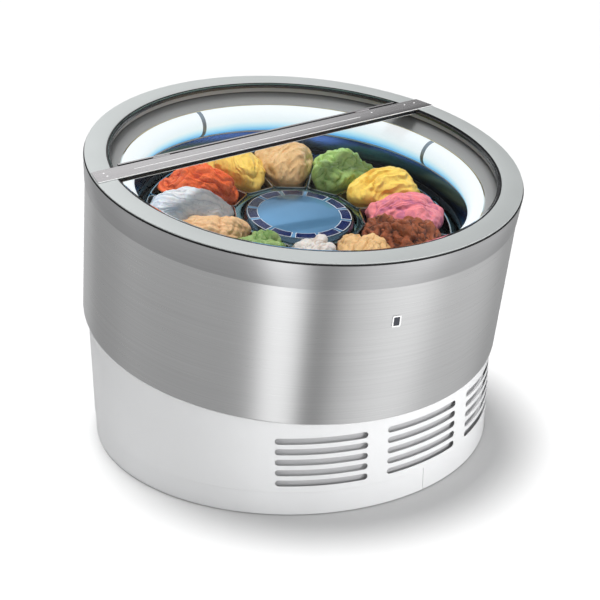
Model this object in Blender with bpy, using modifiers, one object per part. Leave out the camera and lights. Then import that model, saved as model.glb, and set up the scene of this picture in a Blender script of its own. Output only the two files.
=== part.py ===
"""A round gelato display cabinet: a tilted insulated drum on a level base, with twelve wedge pans on a
turning carousel under a glass top. Units are metres, +Z is up, and customers stand on the -Y side.

Two local frames are used. Base pieces sit on the base axis. Drum pieces are children of drum_axis, an empty
on the base axis whose local Z leans TILT towards the customers; local z = 0 is the drum's lower edge.
"""

from math import asin, cos, degrees, hypot, pi, radians, sin, tan

import bmesh
import bpy
from mathutils import Matrix, Vector

# Drum
TILT = radians(8.5)
DRUM_HEIGHT_ON_AXIS = 0.392  # floor to the drum's lower edge, on the base axis
TOP = 0.535  # ring top above the lower edge
RING_OUTER = 0.675
RING_INNER = 0.6098
SHELL_R = 0.6725
SHELL_TOP = 0.4497
SHELL_FILLET = 0.006
SHEET = 0.0015
BAND_TOP = 0.5272
BAND_TOP_R = 0.6787
BAND_FOOT_R = 0.6742
BAND_WALL = 0.002
GAP = 0.0003
SEGMENTS = 48
INNER_SEGMENTS = 30

# Glass top
GLASS = 0.006
GLASS_R = 0.602
GLASS_TOP = TOP - GAP
SEAT_FOOT = 0.519
SEAT_LIP_R = 0.597
BAR_FRONT = 0.128
BAR_REAR = 0.1952
BAR_THICK = 0.004
BAR_R = 0.6735
BEAM_FRONT = 0.131
HINGE_Y = 0.1985
HINGE_Z = 0.5385
PIN_R = 0.0015
KNUCKLE_R = 0.0029
KNUCKLE_X = 0.40
KNUCKLE_W = 0.020
RAIL_FRONT = 0.2018
RAIL_REAR = 0.2085
FLAP_FRONT = 0.2012

# Well and light
DIFFUSER_CENTRE = (0.5665, 0.4235)
DIFFUSER_R = 0.045
DIFFUSER_WALL = 0.003
LIP_TOP = 0.3845
LIP_INNER = 0.538
WELL_R = 0.5205
WELL_FLOOR = 0.165
SHAFT_HOLE_R = 0.040
FOAM_FOOT = 0.100

# Carousel
PANS = 12
PAN_PITCH = 2 * pi / PANS
PAN_RIM_Z = 0.332
PAN_DEPTH = 0.112
PAN_SIDE_GAP = 0.0055  # wall to the plane between two pans
PAN_FLANGE = 0.0042
PAN_WALL = 0.0010
PAN_INNER = 0.2000
PAN_OUTER = 0.4850
PAN_CORNER = 0.012
DECK_Z = 0.3275
CAROUSEL_R = 0.511
FLANGE_Z = 0.3055
HUB_R = 0.1785
HUB_TOP = 0.3365
SHAFT_R = 0.0125

# Drive
MODULE = 0.0045
GEAR_TEETH = 30
PINION_TEETH = 12
GEAR_Z = 0.0745
GEAR_THICK = 0.012
DRIVE_RAIL_Y = 0.056
DRIVE_RAIL_TOP = 0.0665

# Base
BASE_R = 0.656
KICK_R = 0.654
KICK_FOOT = 0.003
KICK_TOP = 0.0785
SKIRT_FOOT = 0.0795
SKIRT_TOP = 0.015  # in the drum frame, inside the drum's lower edge
SERVICE_HALF_ANGLE = radians(38)
PLATE_R = 0.640
PLATE_Z = 0.062
PLATE_THICK = 0.0025
SLOT_PITCH = 0.035
SLOT_HEIGHT = 0.021
SLOT_LENGTH = 0.276
SLOT_LOWEST = 0.111
SLOTS_HIGH = 5
GROUP_STEP = radians(29.9)
REAR_SLOTS_HIGH = 4

# The base axis is shifted so that the whole cabinet's box is centred on Y.
FRONT_REACH = BAND_TOP_R * cos(TILT) + BAND_TOP * sin(TILT)
REAR_REACH = (SHELL_R - SHELL_FILLET) * cos(TILT) - SHELL_FILLET * sin(TILT) + SHELL_FILLET
BASE_Y = (FRONT_REACH - REAR_REACH) / 2

# Controls, on the rear service panel
CONTROL_HALF_W = 0.080
CONTROL_Z = (0.350, 0.412)
CONTROL_FACE = 0.651
CONTROL_BACK = 0.628
BUTTON_R = 0.0060
BUTTON_X = (0.012, 0.044)
BUTTON_REACH = 0.0030
ROCKER_X = -0.045
ROCKER_SWING = radians(14)
INLET_X = 0.20
INLET_Z = 0.295


def clear_scene():
    for obj in list(bpy.data.objects):
        bpy.data.objects.remove(obj, do_unlink=True)


clear_scene()
PARTS = bpy.data.collections.new("gelato_display_cabinet")
CUTTERS = bpy.data.collections.new("cutters")
bpy.context.scene.collection.children.link(PARTS)
bpy.context.scene.collection.children.link(CUTTERS)


def axis_empty(name, location, rotation=(0, 0, 0)):
    empty = bpy.data.objects.new(name, None)
    empty.location = location
    empty.rotation_euler = rotation
    PARTS.objects.link(empty)
    return empty


DRUM = axis_empty("drum_axis", (0, BASE_Y, DRUM_HEIGHT_ON_AXIS), (TILT, 0, 0))
BASE = axis_empty("base_axis", (0, BASE_Y, 0))


def finish(obj, colour, roughness, metallic=0.0, transmission=0.0, glow=0.0):
    """Gives the piece a Principled material of its own."""
    material = bpy.data.materials.new(obj.name + "_finish")
    material.use_nodes = True
    shader = material.node_tree.nodes["Principled BSDF"]
    shader.inputs["Base Color"].default_value = (*colour, 1)
    shader.inputs["Roughness"].default_value = roughness
    shader.inputs["Metallic"].default_value = metallic
    shader.inputs["Transmission Weight"].default_value = transmission
    shader.inputs["Emission Color"].default_value = (*colour, 1)
    shader.inputs["Emission Strength"].default_value = glow
    obj.data.materials.append(material)
    return obj


def place(name, data, parent, location=(0, 0, 0), rotation=(0, 0, 0), collection=None):
    obj = bpy.data.objects.new(name, data)
    (collection or PARTS).objects.link(obj)
    obj.parent = parent
    obj.location = location
    obj.rotation_euler = rotation
    return obj


def from_bmesh(name, bm, parent, location=(0, 0, 0), rotation=(0, 0, 0), smooth=False):
    mesh = bpy.data.meshes.new(name)
    bm.to_mesh(mesh)
    bm.free()
    if smooth:
        mesh.shade_smooth()
        mesh.set_sharp_from_angle(angle=radians(35))
    return place(name, mesh, parent, location, rotation)


def as_cutter(obj):
    for collection in list(obj.users_collection):
        collection.objects.unlink(obj)
    CUTTERS.objects.link(obj)
    obj.hide_render = True
    obj.display_type = "WIRE"
    return obj


def boolean(obj, other, operation="DIFFERENCE"):
    modifier = obj.modifiers.new(operation.lower(), "BOOLEAN")
    modifier.operation = operation
    modifier.solver = "EXACT"
    modifier.object = as_cutter(other)
    return obj


def bevel(obj, width, segments=1, angle=40):
    modifier = obj.modifiers.new("bevel", "BEVEL")
    modifier.width = width
    modifier.segments = segments
    modifier.limit_method = "ANGLE"
    modifier.angle_limit = radians(angle)
    return obj


def arc(centre, radius, start, end, steps):
    """Points on an arc, angles in degrees."""
    turn = [radians(start + (end - start) * i / steps) for i in range(steps + 1)]
    return [(centre[0] + radius * cos(a), centre[1] + radius * sin(a)) for a in turn]


def offset(path, distance):
    """The path moved sideways by distance, to the left of its direction, with mitred corners."""
    moved = []
    for i, point in enumerate(path):
        before = path[max(i - 1, 0)]
        after = path[min(i + 1, len(path) - 1)]
        first = Vector(point) - Vector(before) if i else Vector(after) - Vector(point)
        second = Vector(after) - Vector(point) if i < len(path) - 1 else first
        n1 = Vector((-first.y, first.x)).normalized()
        n2 = Vector((-second.y, second.x)).normalized()
        middle = (n1 + n2).normalized()
        moved.append(tuple(Vector(point) + middle * distance / middle.dot(n1)))
    return moved


def sheet_loop(path, thickness):
    return path + offset(path, thickness)[::-1]


def turned(name, profile, parent, ring=True, steps=SEGMENTS, location=(0, 0, 0), rotation=(0, 0, 0)):
    """A profile of (radius, height) turned about local Z. It is made to run down its outer side."""
    area = sum(a[0] * b[1] - b[0] * a[1] for a, b in zip(profile, profile[1:] + profile[:1]))
    if area > 0:
        profile = profile[::-1]
    mesh = bpy.data.meshes.new(name)
    count = len(profile)
    edges = [(i, (i + 1) % count) for i in range(count if ring else count - 1)]
    mesh.from_pydata([(r, 0, z) for r, z in profile], edges, [])
    obj = place(name, mesh, parent, location, rotation)
    screw = obj.modifiers.new("turn", "SCREW")
    screw.steps = steps
    screw.render_steps = steps
    screw.use_smooth_shade = True
    screw.use_merge_vertices = True
    screw.merge_threshold = 0.0001
    return obj


def arc_panel(name, radius, low, high, start, end, steps, thickness, parent, slope=None):
    """A curved sheet between two angles (radians from -Y), its upper edge cut on slope = (point, normal)."""
    bm = bmesh.new()
    tall = max(high, low + 0.01)
    corners = [
        bm.verts.new((radius * sin(start), -radius * cos(start), z)) for z in (low, tall)
    ]
    edge = bm.edges.new(corners)
    bmesh.ops.spin(
        bm,
        geom=[edge, *corners],
        cent=(0, 0, 0),
        axis=(0, 0, 1),
        angle=end - start,
        steps=steps,
        use_duplicate=False,
    )
    if slope:
        geometry = bm.verts[:] + bm.edges[:] + bm.faces[:]
        bmesh.ops.bisect_plane(
            bm, geom=geometry, plane_co=slope[0], plane_no=slope[1], clear_outer=True
        )
    bmesh.ops.recalc_face_normals(bm, faces=bm.faces)
    centre = bm.faces[:][0].calc_center_median()
    if bm.faces[:][0].normal.dot(Vector((centre.x, centre.y, 0))) < 0:
        bmesh.ops.reverse_faces(bm, faces=bm.faces)
    obj = from_bmesh(name, bm, parent, smooth=True)
    solidify = obj.modifiers.new("sheet", "SOLIDIFY")
    solidify.thickness = thickness
    solidify.offset = -1
    return obj


def box(name, low, high, parent):
    bm = bmesh.new()
    bmesh.ops.create_cube(bm, size=1)
    size = Vector(high) - Vector(low)
    centre = (Vector(high) + Vector(low)) / 2
    bmesh.ops.scale(bm, vec=size, verts=bm.verts)
    return from_bmesh(name, bm, parent, centre)


def cylinder(name, radius, depth, parent, centre, rotation=(0, 0, 0), sides=16):
    bm = bmesh.new()
    bmesh.ops.create_cone(
        bm, cap_ends=True, segments=sides, radius1=radius, radius2=radius, depth=depth
    )
    return from_bmesh(name, bm, parent, centre, rotation, smooth=True)


def flat(name, outline, low, high, parent):
    """A flat outline of (x, y) points, filled between two heights."""
    curve = bpy.data.curves.new(name, "CURVE")
    curve.dimensions = "2D"
    curve.fill_mode = "BOTH"
    curve.extrude = (high - low) / 2
    spline = curve.splines.new("POLY")
    spline.points.add(len(outline) - 1)
    for point, (x, y) in zip(spline.points, outline):
        point.co = (x, y, 0, 1)
    spline.use_cyclic_u = True
    return place(name, curve, parent, (0, 0, (low + high) / 2))


def as_mesh(obj):
    """The same piece as a welded mesh, so that it can be cut or joined."""
    graph = bpy.context.evaluated_depsgraph_get()
    mesh = bpy.data.meshes.new_from_object(obj.evaluated_get(graph))
    bm = bmesh.new()
    bm.from_mesh(mesh)
    bmesh.ops.remove_doubles(bm, verts=bm.verts, dist=0.00001)
    bm.to_mesh(mesh)
    bm.free()
    name, parent, location = obj.name, obj.parent, tuple(obj.location)
    bpy.data.objects.remove(obj, do_unlink=True)
    return place(name, mesh, parent, location)


def segment_outline(radius, front, rear, step=6):
    """The part of a disc with front <= y <= rear, turned points every step degrees."""
    low = degrees(asin(max(front / radius, -1)))
    high = degrees(asin(min(rear / radius, 1)))
    inside = [a for a in range(-90, 91, step) if low + 0.5 < a < high - 0.5]
    right = [low, *inside, high]
    points = [(radius * cos(radians(a)), radius * sin(radians(a))) for a in right]
    mirrored = [(-x, y) for x, y in points[::-1]]
    both = points + mirrored
    return [p for i, p in enumerate(both) if hypot(p[0] - both[i - 1][0], p[1] - both[i - 1][1]) > 1e-5]


# ---------------------------------------------------------------- base


def make_base():
    plate = turned(
        "base_plate",
        [(0, PLATE_Z + PLATE_THICK), (PLATE_R, PLATE_Z + PLATE_THICK), (PLATE_R, PLATE_Z), (0, PLATE_Z)],
        BASE,
        ring=False,
    )
    finish(plate, (0.55, 0.56, 0.57), 0.5, 1.0)
    foot = [(0, PLATE_Z - GAP), (0.011, PLATE_Z - GAP), (0.011, 0.022), (0.030, 0.016), (0.034, 0.0), (0, 0)]
    for rear, y in (("front", -0.38), ("rear", 0.38)):
        for side, x in (("left", -0.38), ("right", 0.38)):
            pad = turned(f"foot_{rear}_{side}", foot, BASE, ring=False, steps=16, location=(x, y, 0))
            finish(pad, (0.05, 0.05, 0.05), 0.7)
    seam = 0.0008 / KICK_R
    for side, start, end in (("right", seam, pi - seam), ("left", pi + seam, 2 * pi - seam)):
        kick = arc_panel(f"kick_panel_{side}", KICK_R, KICK_FOOT, KICK_TOP, start, end, 30, SHEET, BASE)
        finish(kick, (0.86, 0.87, 0.88), 0.35)


def slot_cutter(name, angles, lengths, rows):
    """Upright prisms with round ends, one for each slot, standing radially through the skirt."""
    bm = bmesh.new()
    for angle, length in zip(angles, lengths):
        turn = Matrix.Rotation(angle, 4, "Z")
        for row in range(rows):
            z = SLOT_LOWEST + row * SLOT_PITCH
            half = length / 2 - SLOT_HEIGHT / 2
            outline = arc((half, z), SLOT_HEIGHT / 2, -90, 90, 3)
            outline += arc((-half, z), SLOT_HEIGHT / 2, 90, 270, 3)
            near = [bm.verts.new(turn @ Vector((x, -BASE_R - 0.05, h))) for x, h in outline]
            face = bm.faces.new(near)
            grown = bmesh.ops.extrude_face_region(bm, geom=[face])
            moved = [v for v in grown["geom"] if isinstance(v, bmesh.types.BMVert)]
            bmesh.ops.translate(bm, vec=turn @ Vector((0, 0.12, 0)), verts=moved)
    bmesh.ops.recalc_face_normals(bm, faces=bm.faces)
    return from_bmesh(name, bm, BASE)


def make_skirt():
    normal = Vector((0, -sin(TILT), cos(TILT)))
    slope = (Vector((0, 0, DRUM_HEIGHT_ON_AXIS)) + normal * SKIRT_TOP, normal)
    seam = 0.0008 / BASE_R
    edge = pi - SERVICE_HALF_ANGLE
    skirt = arc_panel(
        "skirt_panel", BASE_R, SKIRT_FOOT, 0.6, -edge + seam, edge - seam, 48, SHEET, BASE, slope
    )
    finish(skirt, (0.86, 0.87, 0.88), 0.35)
    angles = [-GROUP_STEP, 0, GROUP_STEP]
    boolean(skirt, slot_cutter("front_slots", angles, [SLOT_LENGTH] * 3, SLOTS_HIGH))

    panel = arc_panel(
        "service_panel", BASE_R, SKIRT_FOOT, 0.6, edge + seam, 2 * pi - edge - seam, 14, SHEET, BASE, slope
    )
    finish(panel, (0.86, 0.87, 0.88), 0.35)
    half_step = radians(15)
    rear_angles = [pi - half_step, pi + half_step]
    boolean(panel, slot_cutter("rear_slots", rear_angles, [SLOT_LENGTH * 0.85] * 2, REAR_SLOTS_HIGH))
    margin = 0.001
    window = box(
        "control_window",
        (-CONTROL_HALF_W - margin, 0.60, CONTROL_Z[0] - margin),
        (CONTROL_HALF_W + margin, 0.70, CONTROL_Z[1] + margin),
        BASE,
    )
    boolean(panel, window)
    boolean(panel, inlet_block("inlet_window", (0.029, 0.040, 0.023), BASE_R))

    intake = arc_panel(
        "intake_filter", 0.642, 0.095, 0.272, -radians(46), radians(46), 24, 0.005, BASE
    )
    finish(intake, (0.52, 0.54, 0.55), 0.5, 0.6)


def make_support_frame():
    """Four posts on the base plate carry two leaning rails under the drum, tied by four cross rails."""
    top = FOAM_FOOT - 0.0005
    foot = top - 0.050
    x_near = 0.365
    x_far = 0.395
    frame = box("support_frame", (x_near, -0.46, foot), (x_far, 0.46, top), DRUM)
    finish(frame, (0.25, 0.26, 0.27), 0.5, 0.4)
    pieces = [box("rail", (-x_far, -0.46, foot), (-x_near, 0.46, top), DRUM)]
    for y, low, high in (
        (-0.40, foot + 0.005, top - 0.005),
        (-DRIVE_RAIL_Y, DRIVE_RAIL_TOP - 0.015, DRIVE_RAIL_TOP),
        (DRIVE_RAIL_Y, DRIVE_RAIL_TOP - 0.015, DRIVE_RAIL_TOP),
        (0.40, foot + 0.005, top - 0.005),
    ):
        pieces.append(box("cross_rail", (-0.38, y - 0.012, low), (0.38, y + 0.012, high), DRUM))
    for x in (-0.38, 0.38):
        for y in (-0.44, 0.44):
            rail_height = DRUM_HEIGHT_ON_AXIS + y * tan(TILT) + foot + 0.018
            low = (x - 0.0135, y - 0.0135, PLATE_Z + PLATE_THICK + GAP)
            pieces.append(box("post", low, (x + 0.0135, y + 0.0135, rail_height), BASE))
    for piece in pieces:
        boolean(frame, piece, "UNION")


# ---------------------------------------------------------------- drum


def make_drum():
    corner = (SHELL_R - SHELL_FILLET, SHELL_FILLET)
    path = [(SHELL_R, SHELL_TOP)] + arc(corner, SHELL_FILLET, 0, -90, 2) + [(0.6650, 0)]
    shell = turned("drum_shell", sheet_loop(path, -SHEET), DRUM)
    finish(shell, (0.62, 0.63, 0.64), 0.28, 1.0)

    foot = SHELL_TOP + GAP
    band = [
        (BAND_TOP_R, BAND_TOP),
        (BAND_FOOT_R, foot),
        (BAND_FOOT_R - BAND_WALL, foot),
        (BAND_TOP_R - BAND_WALL, BAND_TOP),
    ]
    finish(turned("collar_band", band, DRUM), (0.50, 0.51, 0.53), 0.32, 1.0)

    foam = [
        (0.6680, 0.5165),
        (0.6680, FOAM_FOOT),
        (0.0600, FOAM_FOOT),
        (0.0600, 0.1600),
        (0.5280, 0.1600),
        (0.5280, 0.3300),
        (0.5480, 0.3785),
        (0.5850, 0.3785),
        (0.5850, 0.4760),
        (0.6110, 0.4960),
        (0.6110, 0.5165),
    ]
    finish(turned("insulation", foam, DRUM, steps=INNER_SEGMENTS), (0.90, 0.84, 0.62), 0.9)


def make_rim():
    bed_top = TOP - 0.0035 - GAP
    bed = [(0.6750, bed_top), (0.6750, 0.5192), (0.6102, 0.5192), (0.6102, bed_top)]
    finish(turned("ring_bed", bed, DRUM), (0.02, 0.02, 0.02), 0.6)

    low = TOP - 0.0035
    edge = 0.0008
    ring = [
        (RING_OUTER - edge, TOP),
        (RING_OUTER, TOP - edge),
        (RING_OUTER, low),
        (RING_INNER, low),
        (RING_INNER, TOP),
    ]
    finish(turned("top_ring", ring, DRUM), (0.66, 0.70, 0.69), 0.32, 0.3)

    seat = [
        (0.6094, GLASS_TOP),
        (0.6094, SEAT_FOOT),
        (SEAT_LIP_R, SEAT_FOOT),
        (SEAT_LIP_R, GLASS_TOP - GLASS - GAP),
        (0.6053, GLASS_TOP - GLASS - GAP),
        (0.6053, GLASS_TOP),
    ]
    finish(turned("glass_seat", seat, DRUM), (0.015, 0.015, 0.017), 0.35)

    path = [
        (0.5680, 0.4700),
        (0.6035, 0.5005),
        (0.6035, SEAT_FOOT - GAP),
        (0.6400, SEAT_FOOT - GAP),
    ]
    collar = turned("inner_collar", sheet_loop(path, -SHEET), DRUM)
    finish(collar, (0.62, 0.62, 0.63), 0.45, 0.8)


def make_light():
    path = arc(DIFFUSER_CENTRE, DIFFUSER_R, 92, 236, 5)
    inner = arc(DIFFUSER_CENTRE, DIFFUSER_R - DIFFUSER_WALL, 92, 236, 5)
    diffuser = turned("light_diffuser", path + inner[::-1], DRUM)
    finish(diffuser, (0.90, 0.97, 1.0), 0.4, glow=1.5)
    strip = [(0.5780, 0.4520), (0.5780, 0.4050), (0.5760, 0.4050), (0.5760, 0.4520)]
    finish(turned("led_strip", strip, DRUM, steps=SEGMENTS // 2), (0.95, 0.95, 0.9), 0.6)


def make_well():
    lip = [(0.5600, LIP_TOP), (0.5600, LIP_TOP - 0.003), (LIP_INNER, LIP_TOP - 0.003), (LIP_INNER, LIP_TOP)]
    finish(turned("well_lip", lip, DRUM), (0.60, 0.50, 0.45), 0.3, 0.9)

    path = [
        (SHAFT_HOLE_R, WELL_FLOOR),
        (WELL_R, WELL_FLOOR),
        (WELL_R, 0.3310),
        (0.5405, LIP_TOP - 0.0033),
        (0.5560, LIP_TOP - 0.0033),
    ]
    liner = turned("well_liner", sheet_loop(path, -SHEET), DRUM)
    finish(liner, (0.10, 0.18, 0.32), 0.15, 1.0)

    air = [(WELL_R - 0.0005, 0.3300), (WELL_R - 0.0005, 0.3080), (0.5165, 0.3080), (0.5165, 0.3300)]
    finish(turned("air_ring", air, DRUM), (0.01, 0.01, 0.012), 0.4)


def make_glass_top():
    pane = flat(
        "fixed_glass",
        segment_outline(GLASS_R, -GLASS_R, BEAM_FRONT - GAP),
        GLASS_TOP - GLASS,
        GLASS_TOP,
        DRUM,
    )
    finish(pane, (0.93, 0.97, 0.96), 0.02, transmission=1.0)

    beam = flat(
        "crossbar_beam",
        segment_outline(SEAT_LIP_R - 0.0015, BEAM_FRONT, BAR_REAR + 0.001),
        SEAT_FOOT,
        GLASS_TOP,
        DRUM,
    )
    finish(beam, (0.015, 0.015, 0.017), 0.35)

    bar_low = TOP + GAP
    bar = as_mesh(
        flat("crossbar", segment_outline(BAR_R, BAR_FRONT, BAR_REAR), bar_low, bar_low + BAR_THICK, DRUM)
    )
    finish(bar, (0.60, 0.60, 0.61), 0.3, 1.0)
    rail = box(
        "flap_rail",
        (-0.548, RAIL_FRONT, GLASS_TOP + GAP),
        (0.548, RAIL_REAR, HINGE_Z + 0.0015),
        DRUM,
    )
    finish(rail, (0.60, 0.60, 0.61), 0.3, 1.0)
    for side, x in (("left", -KNUCKLE_X), ("right", KNUCKLE_X)):
        add_hinge(bar, rail, side, x)

    flap = flat(
        "flap_glass",
        segment_outline(GLASS_R, FLAP_FRONT, GLASS_R),
        GLASS_TOP - GLASS,
        GLASS_TOP,
        DRUM,
    )
    finish(flap, (0.93, 0.97, 0.96), 0.02, transmission=1.0)


def add_hinge(bar, rail, side, x):
    """One fixed knuckle on the bar between two moving ones on the rail, all bored for the pin."""
    lying = (0, pi / 2, 0)
    leaf_low = HINGE_Z - 0.0014
    leaf_high = HINGE_Z + 0.0006
    play = 0.0005
    for owner, centre, width, near, far in (
        (bar, x, KNUCKLE_W, BAR_REAR - 0.002, HINGE_Y - 0.001),
        (rail, x - KNUCKLE_W, KNUCKLE_W - play, HINGE_Y + 0.001, RAIL_FRONT + 0.002),
        (rail, x + KNUCKLE_W, KNUCKLE_W - play, HINGE_Y + 0.001, RAIL_FRONT + 0.002),
    ):
        barrel = cylinder("knuckle", KNUCKLE_R, width, DRUM, (centre, HINGE_Y, HINGE_Z), lying, 12)
        half = width / 2 - 0.0005
        leaf = box("leaf", (centre - half, near, leaf_low), (centre + half, far, leaf_high), DRUM)
        boolean(owner, barrel, "UNION")
        boolean(owner, leaf, "UNION")
    for owner in (bar, rail):
        bore = cylinder("bore", PIN_R + 0.0002, KNUCKLE_W * 4, DRUM, (x, HINGE_Y, HINGE_Z), lying, 12)
        boolean(owner, bore)
    pin = cylinder(f"hinge_pin_{side}", PIN_R, KNUCKLE_W * 3, DRUM, (x, HINGE_Y, HINGE_Z), lying, 12)
    finish(pin, (0.7, 0.7, 0.7), 0.25, 1.0)


def make_badge():
    """A blank plate on the shell, a little to the right of the customer's side."""
    bm = bmesh.new()
    bmesh.ops.create_cube(bm, size=1)
    bmesh.ops.scale(bm, vec=(0.027, 0.002, 0.036), verts=bm.verts)
    angle = -radians(14.4)
    reach = SHELL_R + 0.0014
    location = (reach * sin(angle), -reach * cos(angle), 0.3385)
    badge = from_bmesh("badge_plate", bm, DRUM, location, (0, 0, angle))
    bevel(badge, 0.0006)
    finish(badge, (0.75, 0.76, 0.78), 0.2, 1.0)


# ---------------------------------------------------------------- carousel


def wedge(inner, side_gap, outer, corner, steps=2):
    """A pan outline centred on -Y: a straight inner end, radial sides and a curved outer end."""
    half = PAN_PITCH / 2
    side = -degrees(half)
    # Points are (across, out), with out measured from the carousel axis along the pan's middle.
    near = inner + corner
    inner_centre = (near * tan(half) - (side_gap + corner) / cos(half), near)
    points = arc(inner_centre, corner, -90, side, steps)
    reach = outer - corner
    bearing = half - asin((side_gap + corner) / reach)
    outer_centre = (reach * sin(bearing), reach * cos(bearing))
    points += arc(outer_centre, corner, side, 90 - degrees(bearing), steps)
    points.append((outer * sin(bearing / 2), outer * cos(bearing / 2)))
    mirrored = [(-x, y) for x, y in points[::-1]]
    return [(x, -y) for x, y in points + [(0, outer)] + mirrored]


def loft(name, rings, parent, location=(0, 0, 0)):
    """Joins outlines of equal length, each (points, height), into one closed body."""
    bm = bmesh.new()
    loops = [[bm.verts.new((x, y, z)) for x, y in points] for points, z in rings]
    count = len(loops[0])
    for lower, upper in zip(loops, loops[1:]):
        for i in range(count):
            j = (i + 1) % count
            bm.faces.new((lower[i], lower[j], upper[j], upper[i]))
    bm.faces.new(loops[0])
    bm.faces.new(loops[-1])
    bmesh.ops.recalc_face_normals(bm, faces=bm.faces)
    return from_bmesh(name, bm, parent, location, smooth=True)


def make_pans():
    taper = 0.003
    body = wedge(PAN_INNER + PAN_FLANGE, PAN_SIDE_GAP, PAN_OUTER - PAN_FLANGE, PAN_CORNER)
    foot = wedge(
        PAN_INNER + PAN_FLANGE + taper, PAN_SIDE_GAP + taper, PAN_OUTER - PAN_FLANGE - taper, PAN_CORNER
    )
    flange = wedge(PAN_INNER, PAN_SIDE_GAP - PAN_FLANGE, PAN_OUTER, PAN_CORNER + PAN_FLANGE)
    bore = wedge(
        PAN_INNER + PAN_FLANGE + PAN_WALL,
        PAN_SIDE_GAP + PAN_WALL,
        PAN_OUTER - PAN_FLANGE - PAN_WALL,
        PAN_CORNER - PAN_WALL,
    )
    bore_foot = wedge(
        PAN_INNER + PAN_FLANGE + taper + PAN_WALL,
        PAN_SIDE_GAP + taper + PAN_WALL,
        PAN_OUTER - PAN_FLANGE - taper - PAN_WALL,
        PAN_CORNER - PAN_WALL,
    )
    floor = PAN_RIM_Z - PAN_DEPTH
    under_flange = DECK_Z + GAP
    rings = [
        (foot, floor),
        (body, under_flange),
        (flange, under_flange),
        (flange, PAN_RIM_Z),
        (bore, PAN_RIM_Z),
        (bore_foot, floor + PAN_WALL),
    ]
    first = loft("pan_01", rings, DRUM)
    finish(first, (0.70, 0.71, 0.72), 0.22, 1.0)
    for i in range(1, PANS):
        place(f"pan_{i + 1:02d}", first.data, DRUM, rotation=(0, 0, i * PAN_PITCH))


def make_carousel():
    """An outer ring with a low flange, twelve blades between the pans and a centre plate on the shaft."""
    rim = [
        (0.4865, DECK_Z),
        (0.4865, FLANGE_Z),
        (CAROUSEL_R, FLANGE_Z),
        (CAROUSEL_R, FLANGE_Z - 0.0030),
        (0.4822, FLANGE_Z - 0.0030),
        (0.4822, DECK_Z),
    ]
    frame = turned("carousel_frame", rim, DRUM)
    finish(frame, (0.12, 0.22, 0.26), 0.2, 1.0)
    centre = [
        (0.2036, DECK_Z - 0.0006),
        (0.2036, 0.2980),
        (SHAFT_R + 0.0300, 0.2980),
        (SHAFT_R + 0.0300, 0.3020),
        (0.1860, 0.3020),
        (0.1860, DECK_Z - 0.0006),
    ]
    boolean(frame, turned("centre_plate", centre, DRUM, steps=48), "UNION")
    for i in range(PANS):
        angle = (i + 0.5) * PAN_PITCH
        bm = bmesh.new()
        bmesh.ops.create_cube(bm, size=1)
        bmesh.ops.scale(bm, vec=(0.005, 0.2920, 0.0262), verts=bm.verts)
        bmesh.ops.translate(bm, vec=(0, -0.3390, 0.3136), verts=bm.verts)
        blade = from_bmesh("blade", bm, DRUM, rotation=(0, 0, angle))
        boolean(frame, blade, "UNION")

    hub = [
        (0, HUB_TOP),
        (0.1700, HUB_TOP),
        (HUB_R, 0.3240),
        (HUB_R, 0.3120),
        (0, 0.3120),
    ]
    finish(turned("hub_disc", hub, DRUM, ring=False, steps=48), (0.06, 0.18, 0.36), 0.1)

    shaft = [
        (0, 0.3117),
        (SHAFT_R + 0.0297, 0.3117),
        (SHAFT_R + 0.0297, 0.2950),
        (0.0250, 0.2950),
        (0.0250, 0.1750),
        (SHAFT_R, 0.1700),
        (SHAFT_R, GEAR_Z - 0.006),
        (0, GEAR_Z - 0.006),
    ]
    finish(turned("drive_shaft", shaft, DRUM, ring=False, steps=24), (0.6, 0.6, 0.6), 0.3, 1.0)


def gear_outline(teeth, phase):
    """Straight-flanked teeth, thinned for backlash. phase is the first tooth's angle."""
    pitch_r = MODULE * teeth / 2
    tip = pitch_r + 0.85 * MODULE
    root = pitch_r - 1.15 * MODULE
    pitch = 2 * pi / teeth
    tip_half = 0.10 * pitch
    root_half = 0.29 * pitch
    points = []
    for i in range(teeth):
        middle = phase + i * pitch
        for radius, shift in ((root, -root_half), (tip, -tip_half), (tip, tip_half), (root, root_half)):
            points.append((radius * cos(middle + shift), radius * sin(middle + shift)))
    return points


def make_drive():
    gear = as_mesh(flat("ring_gear", gear_outline(GEAR_TEETH, 0), GEAR_Z, GEAR_Z + GEAR_THICK, DRUM))
    hole = cylinder("gear_bore", SHAFT_R + 0.0003, 0.05, DRUM, (0, 0, GEAR_Z), sides=24)
    boolean(gear, hole)
    finish(gear, (0.80, 0.80, 0.78), 0.5)
    distance = MODULE * (GEAR_TEETH + PINION_TEETH) / 2
    # The pinion stands on +X, so its tooth gap faces the gear tooth at angle 0.
    facing = pi + pi / PINION_TEETH
    pinion = as_mesh(
        flat("drive_pinion", gear_outline(PINION_TEETH, facing), GEAR_Z - 0.001, GEAR_Z + GEAR_THICK + 0.001, DRUM)
    )
    pinion.location.x = distance
    finish(pinion, (0.75, 0.62, 0.30), 0.35, 1.0)
    seat = DRIVE_RAIL_TOP + GAP
    motor = [
        (0, GEAR_Z - 0.0014),
        (0.012, GEAR_Z - 0.0014),
        (0.012, seat + 0.004),
        (0.056, seat + 0.004),
        (0.056, seat),
        (0.041, seat),
        (0.041, -0.010),
        (0.034, -0.012),
        (0.034, -0.085),
        (0, -0.085),
    ]
    body = turned("gear_motor", motor, DRUM, ring=False, steps=24, location=(distance, 0, 0))
    finish(body, (0.12, 0.12, 0.13), 0.5, 0.3)
    bearing = [
        (0.038, 0.156),
        (0.038, 0.114),
        (0.056, 0.114),
        (0.056, FOAM_FOOT + 0.002),
        (SHAFT_R + 0.0004, FOAM_FOOT + 0.002),
        (SHAFT_R + 0.0004, 0.156),
    ]
    finish(turned("bearing_housing", bearing, DRUM, steps=24), (0.45, 0.46, 0.47), 0.4, 1.0)


# ---------------------------------------------------------------- cooling


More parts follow.
